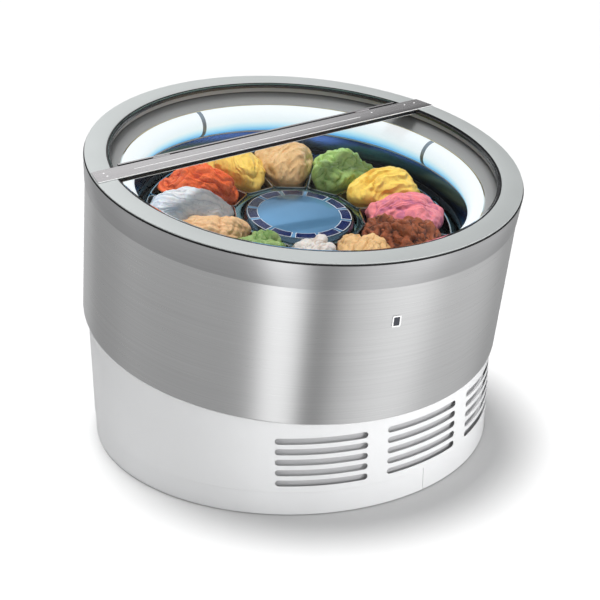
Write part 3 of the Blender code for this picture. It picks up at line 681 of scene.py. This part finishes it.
def make_base():
    start, end = -SERVICE_EDGE + SEAM, SERVICE_EDGE - SEAM
    skirt = curved_sheet("skirt", SKIRT_R, SKIRT_FOOT, None, start, end, SHEET, 284)
    tool = bmesh.new()
    slots(tool, (-SLOT_GROUP, 0, SLOT_GROUP), SLOT_LENGTH, 5)
    painted("skirt_panel_skin", cut(skirt, tool, "skirt"), "skirt_panel")

    start, end = SERVICE_EDGE + SEAM, 2 * pi - SERVICE_EDGE - SEAM
    rear = curved_sheet("service", SKIRT_R, SKIRT_FOOT, None, start, end, SHEET, 76)
    tool = bmesh.new()
    slots(tool, (radians(165), radians(195)), SLOT_LENGTH * 0.85, 4)
    box_bm(tool, (-0.081, 0.60, 0.349), (0.081, 0.70, 0.413))  # the control panel's opening
    inlet = box_bm(tool, (-0.0145, SKIRT_R - 0.02, 0.2835), (0.0145, SKIRT_R + 0.02, 0.3065))
    turn = Matrix.Rotation(-asin(0.20 / SKIRT_R), 4, "Z")
    bmesh.ops.transform(tool, matrix=turn, verts=inlet)
    painted("service_panel_skin", cut(rear, tool, "service"), "service_panel")

    gap = SEAM_WIDTH / KICK_R
    for side, start in (("right", 0), ("left", pi)):
        start, end = start + gap, start + pi - gap
        mesh = curved_sheet("kick", KICK_R, KICK_FOOT, KICK_TOP, start, end, SHEET, 180)
        painted(f"kick_{side}_skin", mesh, f"kick_panel_{side}")
    reach = radians(46)
    mesh = curved_sheet("intake", 0.642, 0.062, 0.276, -reach, reach, 0.005, 92)
    piece("intake_filter_skin", mesh, FILTER, "cabinet", BASE, ["intake_filter"])


def make_fixings():
    """Low round screw heads at the service panel's edges and down its middle."""
    side = SERVICE_EDGE + 0.022
    heads = [(angle, z) for z in (0.10, 0.26, 0.42) for angle in (side, 2 * pi - side)]
    heads += [(pi, 0.10), (pi, 0.265)]
    bm = bmesh.new()
    for angle, z in heads:
        turn = Matrix.Rotation(angle, 4, "Z")
        face = -SKIRT_R + 0.0002
        for radius, depth, y in ((0.0042, 0.0008, face), (0.0032, 0.0004, face - 0.0004)):
            made = spot(bm, (0, y, z), radius, depth, "Y", 0.12)
            bmesh.ops.transform(bm, matrix=turn, verts=made)
    mesh = mesh_of(bm, "service_screws")
    piece("service_screws", mesh, PIN_STEEL, "cabinet", BASE)


# ---------------------------------------------------------------- drum and rim


def make_drum():
    corner = (SHELL_R - SHELL_FILLET, SHELL_FILLET)
    path = [(SHELL_R, SHELL_TOP)] + arc(corner, SHELL_FILLET, 0, -90, 8) + [(SHELL_FOOT_R, 0)]
    turned_piece("drum_shell", sheet(path)[::-1], DRUM_STEEL)
    band = [(0.6787, 0.5272), (0.6742, 0.4500), (0.6722, 0.4500), (0.6767, 0.5272)]
    turned_piece("collar_band", band, BAND_STEEL_SHADED, corner=0.0007)
    bed = [(0.6750, 0.5312), (0.6750, 0.5192), (0.6102, 0.5192), (0.6102, 0.5312)]
    turned_piece("ring_bed", bed, GASKET, corner=0.0006)
    ring = [(0.6750, TOP), (0.6750, 0.5315), (0.6098, 0.5315), (0.6098, TOP)]
    turned_piece("top_ring", ring, RING_FINISH, corner=0.0009)
    seat = [(0.6094, GLASS_TOP), (0.6094, 0.5190), (0.5970, 0.5190)]
    seat += [(0.5970, 0.5284), (0.6053, 0.5284), (0.6053, GLASS_TOP)]
    turned_piece("glass_seat", seat, GLOSS_BLACK, corner=0.0006)
    path = [(0.5680, 0.4700), (0.6035, 0.5005), (0.6035, 0.5187), (0.6400, 0.5187)]
    turned_piece("inner_collar", sheet(path), COLLAR_PAINTED_SHADE, corner=0.0006)


def make_light():
    """The diffuser with its joint strips, and the well under it."""
    outer = arc(LIGHT_CENTRE, LIGHT_R, 92, 236, 24)
    inner = arc(LIGHT_CENTRE, LIGHT_INNER_R, 92, 236, 24)
    turned_piece("light_diffuser", outer + inner[::-1], DIFFUSER, sharp=50)
    strip = arc(LIGHT_CENTRE, 0.0457, 94, 235, 24) + arc(LIGHT_CENTRE, 0.0449, 94, 235, 24)[::-1]
    half = radians(0.8)
    for turn in range(LIGHT_STRIPS):
        middle = turn * pi / 2 + radians(1)
        mesh = turned_mesh("joint_strip", strip, 3, start=middle - half, end=middle + half)
        piece(f"light_joint_{turn + 1}", mesh, STRIP_GREY, "cabinet", DRUM)
    lip = [(0.5600, 0.3845), (0.5600, 0.3815), (0.5380, 0.3815), (0.5380, 0.3845)]
    turned_piece("well_lip", lip, LIP_FINISH, corner=0.0012)
    path = [(0.0400, 0.1650)] + arc((0.5145, 0.1710), 0.006, -90, 0, 6)
    path += [(0.5205, 0.3310), (0.5405, 0.3812), (0.5560, 0.3812)]
    turned_piece("well_liner", sheet(path), WELL_PAINTED_LIGHT)
    air = [(0.5200, 0.3300), (0.5200, 0.3080), (0.5165, 0.3080), (0.5165, 0.3300)]
    turned_piece("air_ring", air, GASKET, corner=0.0008)


def make_glass():
    for node, body, front, rear in (
        ("fixed_glass", "cabinet", -GLASS_R, PANE_REAR),
        ("flap_glass", "flap", FLAP_FRONT, GLASS_R),
    ):
        mesh = plate_mesh(node, segment(GLASS_R, front, rear), GLASS_LOW, GLASS_TOP, 0.0008)
        pane = piece(node + "_pane", mesh, CLEAR, body, DRUM, [node])
        pane.visible_shadow = False
    start, end = radians(111), radians(249)
    mesh = curved_sheet("rim", 0.6027, 0.5292, 0.5342, start, end, 0.0005, 160)
    piece("flap_glass_rim", mesh, GLASS_RIM, "flap", DRUM)


def make_crossbar():
    """The beam, the bar's plate with its two fixed hinge knuckles, and white strips on them that are
    painted highlights along their edges and the bar's groove.
    """
    mesh = plate_mesh("beam", segment(0.5955, 0.131, 0.1962), 0.519, GLASS_TOP, 0.0007)
    piece("crossbar_beam_skin", mesh, BEAM_BLACK, "cabinet", DRUM, ["crossbar_beam"])

    outline = segment(BAR_R, BAR_FRONT, BAR_REAR)
    bm = bmesh.new()
    add_mesh(bm, plate_mesh("bar", outline, BAR_LOW, BAR_TOP, 0.0011, 3))
    for x in (-HINGE_X, HINGE_X):
        spot(bm, (x, HINGE_Y, HINGE_Z), 0.0029, 0.020, "X")
        low = (x - 0.0095, BAR_REAR - 0.002, HINGE_Z - 0.0014)
        box_bm(bm, low, (x + 0.0095, HINGE_Y - 0.001, HINGE_Z + 0.0006))
    mesh = mesh_of(bm, "crossbar")
    piece("crossbar_skin", mesh, BAR_STEEL, "cabinet", DRUM, ["crossbar"])

    bm = bmesh.new()
    for x, y in ((0.571, 0.173), (0.615, 0.173), (-0.616, 0.173), (-0.616, 0.152), (0.421, 0.1725)):
        spot(bm, (x, y, BAR_TOP), 0.0033, 0.0005, "Z", 0.25)
    mesh = mesh_of(bm, "crossbar_screws")
    piece("crossbar_screws", mesh, WHITE_LACQUER_AND_HIGHLIGHT, "cabinet", DRUM)
    # Painted highlights: white strips along the bar's front edge, the beam's front edge and the bar's
    # groove.
    lip, below = BAR_LOW + 0.0004, BAR_TOP - 0.0003
    for name, (left, right), (front, rear), (low, high) in (
        ("crossbar_edge_highlight", (-0.66, 0.66), (BAR_FRONT - 0.0004, BAR_FRONT + 0.0014), (lip, below)),
        ("crossbar_beam_edge_highlight", (-0.575, 0.575), (0.1305, 0.1313), (0.5192, 0.5205)),
        ("crossbar_groove_highlight", (-0.52, 0.36), (0.1584, 0.1604), (below, BAR_TOP + 0.0004)),
    ):
        bm = bmesh.new()
        box_bm(bm, (left, front, low), (right, rear, high))
        bmesh.ops.bevel(bm, geom=bm.edges[:], offset=0.0003, segments=2, affect="EDGES")
        piece(name, mesh_of(bm, name), WHITE_LACQUER_AND_HIGHLIGHT, "cabinet", DRUM)


def make_badge():
    """A plate on the drum with a raised, blank face."""
    place = Matrix.Translation(heading(BADGE_ANGLE, BADGE_R, BADGE_Z))
    matrix = DRUM @ place @ Matrix.Rotation(BADGE_ANGLE, 4, "Z")
    upright = Matrix.Rotation(pi / 2, 4, "X")
    for name, width, height, low, high, corner, material, nodes in (
        ("badge_plate_skin", 0.027, 0.036, -0.0010, 0.0007, 0.003, WHITE_LACQUER_AND_HIGHLIGHT, ["badge_plate"]),
        ("badge_face", 0.0190, 0.0280, 0.0002, 0.0010, 0.002, BADGE_FACE, ()),
    ):
        x, y = width / 2 - corner, height / 2 - corner
        outline = []
        for quarter, centre in enumerate(((x, y), (-x, y), (-x, -y), (x, -y))):
            outline += arc(centre, corner, 90 * quarter, 90 * quarter + 90, 5)
        mesh = plate_mesh(name, outline, low, high, 0.0003)
        mesh.transform(upright)
        piece(name, mesh, material, "cabinet", matrix, nodes)


# ---------------------------------------------------------------- carousel


def wedge(inner, side_gap, outer, corner):
    """A pan's outline centred on -Y: a straight inner end, radial sides and a curved outer end."""
    steps, ends = 6, 7  # points round a corner, and along half the outer end
    side = -degrees(HALF)
    near = inner + corner
    inner_centre = (near * tan(HALF) - (side_gap + corner) / cos(HALF), near)
    points = arc(inner_centre, corner, -90, side, steps)
    reach = outer - corner
    bearing = HALF - asin((side_gap + corner) / reach)
    outer_centre = (reach * sin(bearing), reach * cos(bearing))
    points += arc(outer_centre, corner, side, 90 - degrees(bearing), steps)
    sweep = [bearing * (ends - 1 - i) / ends for i in range(ends - 1)]
    points += [(outer * sin(a), outer * cos(a)) for a in sweep]
    mirrored = [(-x, y) for x, y in points[::-1]]
    return [(x, -y) for x, y in points + [(0, outer)] + mirrored]


def pan_place(i):
    return DRUM @ Matrix.Rotation(i * PAN_PITCH, 4, "Z")


def make_pans():
    """One stamped pan, used for all. Its section is how far in from the flange's edge, and the height."""
    floor = RIM_Z - PAN_DEPTH
    section = (
        (0.0072, floor),
        (0.0042, FLANGE_FOOT),
        (0.0004, FLANGE_FOOT),
        (0.0, 0.3285),
        (0.0, 0.3313),
        (0.0006, RIM_Z),
        (0.0040, RIM_Z),
        (0.0050, 0.3315),
        (0.0054, 0.3300),
        (0.0082, floor + 0.001),
    )
    bm = bmesh.new()
    loops = []
    for inset, z in section:
        outline = wedge(PAN_INNER + inset, PAN_GAP + inset, PAN_OUTER - inset, PAN_CORNER - inset)
        loops.append([bm.verts.new((x, y, z)) for x, y in outline])
    bridge(bm, loops)
    mesh = mesh_of(bm, "pan")
    for i in range(PANS):
        name = f"pan_{i + 1:02d}"
        piece(name + "_skin", mesh, PAN_STEEL, "carousel", pan_place(i), [name])


def make_carousel():
    rim = [(0.4865, 0.3275), (0.4865, 0.3055), (0.5110, 0.3055)]
    rim += [(0.5110, 0.3025), (0.4822, 0.3025), (0.4822, 0.3275)]
    centre = [(0.2036, 0.3269), (0.2036, 0.2980), (0.0440, 0.2980)]
    centre += [(0.0440, 0.3020), (0.1860, 0.3020), (0.1860, 0.3269)]
    bm = bmesh.new()
    add_mesh(bm, turned_mesh("rim", rounded(rim, 0.0008)))
    add_mesh(bm, turned_mesh("centre", rounded(centre, 0.0008), 144))
    x, near, far = 0.0025, -0.193, -PAN_OUTER
    for i in range(PANS):
        blade = plate_mesh("blade", [(-x, far), (x, far), (x, near), (-x, near)], 0.3005, 0.3267, 0.0008)
        add_mesh(bm, blade, Matrix.Rotation((i + 0.5) * PAN_PITCH, 4, "Z"))
    mesh = mesh_of(bm, "carousel_frame")
    piece("carousel_frame_skin", mesh, DECK, "carousel", DRUM, ["carousel_frame"])

    hub = [(0, HUB_TOP), (0.1655, HUB_TOP), (0.1685, 0.3360), (0.1705, 0.3350), (0.1775, 0.3255)]
    hub += [(0.1785, 0.3240), (0.1785, 0.3130), (0.1775, 0.3120), (0, 0.3120)]
    mesh = turned_mesh("hub", hub, 192, closed=False)
    mesh.materials.append(HUB)
    mesh.materials.append(HUB_EDGE)
    for face in mesh.polygons:
        face.material_index = int(abs(face.center.z - HUB_TOP) > 0.0002)
    piece("hub_disc_skin", mesh, None, "carousel", DRUM, ["hub_disc"])


def make_tags():
    """A printed flavour tag, left blank, in front of each pan: navy with a white line round it."""
    for i in range(PANS):
        for name, width, depth, low, high, material in (
            ("tag_edge", 0.067, 0.033, TAG_FOOT, TAG_FOOT + 0.0005, TAG_WHITE),
            ("tag_face", 0.0635, 0.0295, TAG_FOOT + 0.0004, TAG_FOOT + 0.0008, TAG_BLUE),
        ):
            inner, outer = TAG_R - depth / 2, TAG_R + depth / 2
            half = width / 2 / TAG_R
            turns = [-half + 2 * half * j / 8 for j in range(9)]
            outline = [(outer * sin(a), -outer * cos(a)) for a in turns]
            outline += [(inner * sin(a), -inner * cos(a)) for a in turns[::-1]]
            mesh = plate_mesh(name, outline, low, high, 0.00012)
            piece(f"{name}_{i + 1:02d}", mesh, material, "carousel", pan_place(i))


# ---------------------------------------------------------------- gelato

noise.seed_set(7)  # without a seed, noise_vector takes its offsets from the clock

# Each flavour: name, light colour, deep colour, height of the heap, lumps, ridges and fine grain in
# metres, direction of the ridges in degrees, how much of the deep colour shows, and how lumpy it is.
FLAVOURS = (
    ("caramel", (0.72, 0.46, 0.22), (0.40, 0.19, 0.06), 0.070, 0.013, 0.008, 0.0012, 25, 0.35, 0.30),
    ("chocolate", (0.30, 0.085, 0.035), (0.045, 0.010, 0.004), 0.074, 0.017, 0.008, 0.0020, 70, 0.45, 0.75),
    ("strawberry", (0.80, 0.24, 0.27), (0.46, 0.13, 0.26), 0.068, 0.010, 0.011, 0.0006, 98, 0.40, 0.10),
    ("mango", (0.88, 0.62, 0.13), (0.66, 0.34, 0.03), 0.070, 0.008, 0.012, 0.0006, 92, 0.28, 0.10),
    ("pistachio", (0.40, 0.58, 0.19), (0.16, 0.32, 0.04), 0.074, 0.016, 0.006, 0.0014, 10, 0.42, 0.60),
    ("hazelnut", (0.72, 0.47, 0.23), (0.44, 0.22, 0.07), 0.078, 0.010, 0.007, 0.0006, 40, 0.30, 0.20),
    ("lemon_cream", (0.88, 0.61, 0.14), (0.66, 0.36, 0.04), 0.076, 0.012, 0.009, 0.0006, 60, 0.30, 0.15),
    ("blood_orange", (0.80, 0.15, 0.04), (0.52, 0.045, 0.015), 0.070, 0.016, 0.008, 0.0016, 80, 0.40, 0.50),
    ("milk", (0.72, 0.73, 0.76), (0.42, 0.45, 0.52), 0.066, 0.010, 0.009, 0.0005, 75, 0.35, 0.12),
    ("peach", (0.74, 0.47, 0.26), (0.46, 0.21, 0.08), 0.062, 0.013, 0.008, 0.0012, 50, 0.32, 0.35),
    ("mint", (0.28, 0.40, 0.15), (0.08, 0.18, 0.025), 0.064, 0.017, 0.008, 0.0020, 30, 0.45, 0.80),
    ("coconut", (0.66, 0.61, 0.58), (0.40, 0.30, 0.24), 0.068, 0.015, 0.007, 0.0026, 20, 0.30, 0.70),
)


def gelato_finish(flavour):
    """Deep colour in broad patches and, as painted shade, in the creases, with small darker flecks."""
    name, light, deep, *_, share, _ = flavour
    look = Look("gelato_" + name, light, 0.36, Subsurface_Weight=0.22, Subsurface_Scale=0.006)
    look.set("Subsurface Radius", (1.0, 0.5, 0.3))
    broad = look.ranged(look.noise(24, EVEN, 5.0, 0.6, 0.8), 0, 0.7, 0.62 - share * 0.4, 0.74, True)
    # The crease attribute is painted shade: the deep colour laid into the folds.
    crease_shade = look.add("Attribute", attribute_name="crease_shade")
    patches_and_crease_shade = look.add("Math", operation="MAXIMUM")
    look.link(broad, patches_and_crease_shade.inputs[0])
    look.link(crease_shade.outputs["Fac"], patches_and_crease_shade.inputs[1])
    flecks = look.ranged(look.noise(150, EVEN, 2.0), 0, 0.45, 0.62, 0.72, True)
    shade = look.mixed(patches_and_crease_shade.outputs["Value"], light, deep)
    look.coloured(look.mixed(flecks, shade, [c * 0.6 for c in deep]))
    look.worn(60, 0.10)
    look.grained(160, 0.0008, detail=5.0, strength=0.7)
    look.grained(600, 0.0003, detail=3.0, strength=0.6)
    return look.material


def heap_form(index, height, seed):
    """A smooth heap, as a function of the share of the way out, the turn and the drop under the rim."""
    inner, outer = 0.212, 0.474
    middle, half_length = (inner + outer) / 2, (outer - inner) / 2

    def surface(s, phi, drop):
        c, v = cos(phi), sin(phi)
        u = abs(c) ** 0.80 * (1 if c > 0 else -1)
        w = abs(v) ** 0.80 * (1 if v > 0 else -1)
        wave = 1 + 0.16 * noise.noise(Vector((c * 1.4, v * 1.4, index * 2.3)) + seed)
        reach = middle + w * s * half_length * min(wave, 1.03)
        width = reach * tan(HALF) * min(wave + 0.05, 1.0) - 0.003
        if drop is not None:
            width = min(width, reach * tan(HALF) - 0.0095)
            return Vector((u * s * width, -reach, RIM_Z + drop))
        tilt = 1 + 0.22 * w * s * noise.noise(seed * 1.3) + 0.18 * u * s * noise.noise(seed * 2.1)
        z = RIM_Z + 0.002 + height * tilt * max(1 - s**2.4, 0) ** 0.62
        return Vector((u * s * width * 1.03, -reach, z))

    return surface


def heap(index, flavour):
    """A heaped, roughly smoothed load of gelato, closed below inside its pan."""
    *_, height, lump, ridge, grain, direction, _, chunk = flavour
    seed = Vector((index * 7.31 + 1.7, index * 3.17, 0.4))
    surface = heap_form(index, height, seed)
    bm = bmesh.new()
    # A painted-shade layer: how deep each point lies in a fold, for the material to darken.
    crease_shade_layer = bm.verts.layers.float.new("crease_shade")
    profile = [(i / RINGS, None) for i in range(1, RINGS + 1)]
    profile += [(0.985, -0.003), (0.955, -0.010), (0.93, -0.022), (0.90, -0.040)]
    top = bm.verts.new(surface(0, 0, None))
    loops = []
    for s, drop in profile:
        loops.append([bm.verts.new(surface(s, 2 * pi * i / AROUND, drop)) for i in range(AROUND)])
    for i in range(AROUND):
        bm.faces.new((top, loops[0][i], loops[0][(i + 1) % AROUND]))
    bridge(bm, loops, ends=[-1])
    bmesh.ops.recalc_face_normals(bm, faces=bm.faces)
    bm.normal_update()

    turn = radians(direction)
    along = Vector((cos(turn), sin(turn), 0.25)).normalized()
    across = Vector((-sin(turn), cos(turn), 0.45)).normalized()
    fine = 22 + 22 * chunk
    moves = []
    for vert in bm.verts:
        p = vert.co
        fade = min(max((p.z - RIM_Z + 0.004) / 0.020, 0), 1)
        if fade <= 0:
            continue
        bend = 0.020 * noise.noise_vector(p * 16 + seed) + 0.006 * noise.noise_vector(p * 55 - seed)
        q = p + bend
        a, b = q.dot(along), q.dot(across)
        big = noise.noise(q * 13 + seed * 2)
        folds = abs(noise.noise(Vector((a * fine * 0.2, b * fine, q.z * fine * 0.4)) + seed)) * 2.2
        lumps = abs(noise.noise(q * 30 - seed)) * 2.2
        small = noise.noise(q * 110 + seed)
        comb = 1 - abs(noise.noise(Vector((a * 9, b * 75, q.z * 20)) - seed)) * 2.6
        push = ridge * 0.45 * comb + lump * (big * 1.6 - 0.2) + ridge * (min(folds, 0.9) - 0.55)
        push += lump * chunk * (min(lumps, 0.9) - 0.45) + grain * small
        # Painted shade: darker the deeper a point lies in a fold or between lumps.
        depth = max(1 - folds / 0.20, 0) * ridge * 75 + max(1 - lumps / 0.22, 0) * lump * chunk * 90
        vert[crease_shade_layer] = min(depth, 1) * fade
        moves.append((vert, vert.normal * push * fade))
    for vert, move in moves:
        vert.co += move
    return mesh_of(bm, "gelato")


def make_gelato():
    for i, flavour in enumerate(FLAVOURS):
        name = f"gelato_{i + 1:02d}_{flavour[0]}"
        mesh = heap(i + 1, flavour)
        piece(name, mesh, gelato_finish(flavour), "carousel", pan_place(i), sharp=180)


# ---------------------------------------------------------------- CAD nodes that keep their shape


LOOKS = {
    "base_plate": PLATE_STEEL,
    "foot_front_left": RUBBER,
    "foot_front_right": RUBBER,
    "foot_rear_left": RUBBER,
    "foot_rear_right": RUBBER,
    "support_frame": FRAME_PAINT,
    "insulation": FOAM,
    "led_strip": LED_BOARD,
    "gear_motor": MOTOR,
    "bearing_housing": BEARING,
    "drive_shaft": BEARING,
    "ring_gear": GEAR_PLASTIC,
    "drive_pinion": BRASS,
    "compressor": COMPRESSOR,
    "condenser": CONDENSER,
    "condenser_fan": FAN_PLASTIC,
    "evaporator": EVAPORATOR,
    "evaporator_fan": FAN_PLASTIC,
    "control_panel": CONTROL_BLACK,
    "power_inlet": CONTROL_BLACK,
    "power_rocker": ROCKER_RED,
    "light_button": BUTTON_GREY,
    "cooling_button": BUTTON_GREY,
    "flap_rail": BAR_STEEL,
    "hinge_pin_left": PIN_STEEL,
    "hinge_pin_right": PIN_STEEL,
}


def dress():
    for node, material in LOOKS.items():
        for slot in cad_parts[node].material_slots:
            slot.material = material


make_base()
make_fixings()
make_drum()
make_light()
make_glass()
make_crossbar()
make_badge()
make_pans()
make_carousel()
make_tags()
make_gelato()
dress()

# ---------------------------------------------------------------- studio


def make_floor():
    """A plain pale floor that the metal doesn't mirror."""
    bm = bmesh.new()
    bmesh.ops.create_grid(bm, x_segments=2, y_segments=2, size=80)
    mesh = mesh_of(bm, "studio_floor")
    look = Look("studio_floor", (0.70, 0.70, 0.70), 0.8)
    look.set("Specular IOR Level", 0.1)
    look.mottle(3, 0.004)
    mesh.materials.append(look.material)
    floor = bpy.data.objects.new("studio_floor", mesh)
    bpy.context.scene.collection.objects.link(floor)
    floor.visible_glossy = False


# Softboxes seen in the metal: heading, half-angle fully lit, half-angle where it ends, brightness.
SOFTBOXES = (
    (12, 15, 38, 0.42),
    (50, 14, 62, 0.36),
    (-48, 4, 16, 0.95),
    (117, 3, 10, 0.09),
    (-118, 8, 34, 0.12),
    (164, 8, 24, 0.22),
    (-70, 5, 35, 0.14),
    (-150, 6, 24, 0.05),
)
SURROUND = 0.27
# The same over the cabinet, where the flat tops see it: a bright box, and a dark gap beside it.
UPPER_BOXES = ((162, 8, 32, 0.20), (112, 12, 26, -0.44))
UPPER = 0.54


def make_world():
    """Light from all round: the boxes on an even surround, and another set over the cabinet."""
    world = bpy.data.worlds.new("studio")
    world.use_nodes = True
    bpy.context.scene.world = world
    tree = world.node_tree
    nodes, link = tree.nodes, tree.links.new

    def math(operation, first, second):
        node = nodes.new("ShaderNodeMath")
        node.operation = operation
        for socket, value in zip(node.inputs, (first, second)):
            if isinstance(value, (int, float)):
                socket.default_value = value
            else:
                link(value, socket)
        return node.outputs[0]

    def smooth(source, start, end, low, high):
        node = nodes.new("ShaderNodeMapRange")
        node.interpolation_type = "SMOOTHSTEP"
        for socket, value in zip(("From Min", "From Max", "To Min", "To Max"), (start, end, low, high)):
            node.inputs[socket].default_value = value
        link(source, node.inputs["Value"])
        return node.outputs["Result"]

    here = nodes.new("ShaderNodeTexCoord")
    parts = nodes.new("ShaderNodeSeparateXYZ")
    link(here.outputs["Generated"], parts.inputs["Vector"])
    level = nodes.new("ShaderNodeCombineXYZ")
    link(parts.outputs["X"], level.inputs["X"])
    link(parts.outputs["Y"], level.inputs["Y"])
    flat = nodes.new("ShaderNodeVectorMath")
    flat.operation = "NORMALIZE"
    link(level.outputs["Vector"], flat.inputs[0])

    def with_boxes(total, boxes):
        for middle, inner, outer, strength in boxes:
            dot = nodes.new("ShaderNodeVectorMath")
            dot.operation = "DOT_PRODUCT"
            link(flat.outputs["Vector"], dot.inputs[0])
            dot.inputs[1].default_value = heading(radians(middle), 1, 0)
            start, end = cos(radians(outer)), cos(radians(inner))
            total = math("ADD", smooth(dot.outputs["Value"], start, end, 0, strength), total)
        return total

    height = parts.outputs["Z"]
    around = math("MULTIPLY", with_boxes(SURROUND, SOFTBOXES), smooth(height, -0.72, -0.25, 0.82, 1.14))
    upper = with_boxes(UPPER, UPPER_BOXES)
    mask = smooth(height, 0.15, 0.42, 0, 1)
    both = math("ADD", math("MULTIPLY", upper, mask), math("MULTIPLY", around, math("SUBTRACT", 1, mask)))
    background = nodes["Background"]
    combine = nodes.new("ShaderNodeCombineColor")
    for socket, tone in zip(combine.inputs, (0.995, 1.0, 1.005)):
        link(math("MULTIPLY", both, tone), socket)
    link(combine.outputs["Color"], background.inputs["Color"])
    background.inputs["Strength"].default_value = 1.0


def make_lamp(name, kind, location, target, power, **values):
    """A lamp that lights surfaces without showing in them."""
    data = bpy.data.lights.new(name, kind)
    data.energy = power
    for key, value in values.items():
        setattr(data, key, value)
    lamp = bpy.data.objects.new(name, data)
    bpy.context.scene.collection.objects.link(lamp)
    lamp.location = location
    lamp.rotation_euler = (Vector(target) - Vector(location)).to_track_quat("-Z", "Y").to_euler()
    lamp.visible_camera = lamp.visible_glossy = lamp.visible_transmission = False


CAMERA_PLACE = (-2.506, -3.166, 2.196)
CAMERA_AIM = (0.5695, 0.7172, -0.4016)
CAMERA_ROLL = radians(-0.06)


def make_camera():
    data = bpy.data.cameras.new("camera")
    data.lens = 81.19
    data.sensor_width = 36
    data.clip_end = 100
    camera = bpy.data.objects.new("camera", data)
    bpy.context.scene.collection.objects.link(camera)
    aim = Vector(CAMERA_AIM).normalized().to_track_quat("-Z", "Y")
    turn = aim @ Matrix.Rotation(CAMERA_ROLL, 3, "Z").to_quaternion()
    camera.matrix_world = Matrix.Translation(CAMERA_PLACE) @ turn.to_matrix().to_4x4()
    bpy.context.scene.camera = camera


make_floor()
make_world()
make_lamp("overhead_sun", "SUN", (-0.05, 0.45, 4.0), (0, 0, 0), 3.1, angle=radians(16))
make_lamp("front_softbox", "AREA", (0.9, -3.9, 0.6), (0, 0, 0.3), 60, size=1.0)
make_camera()
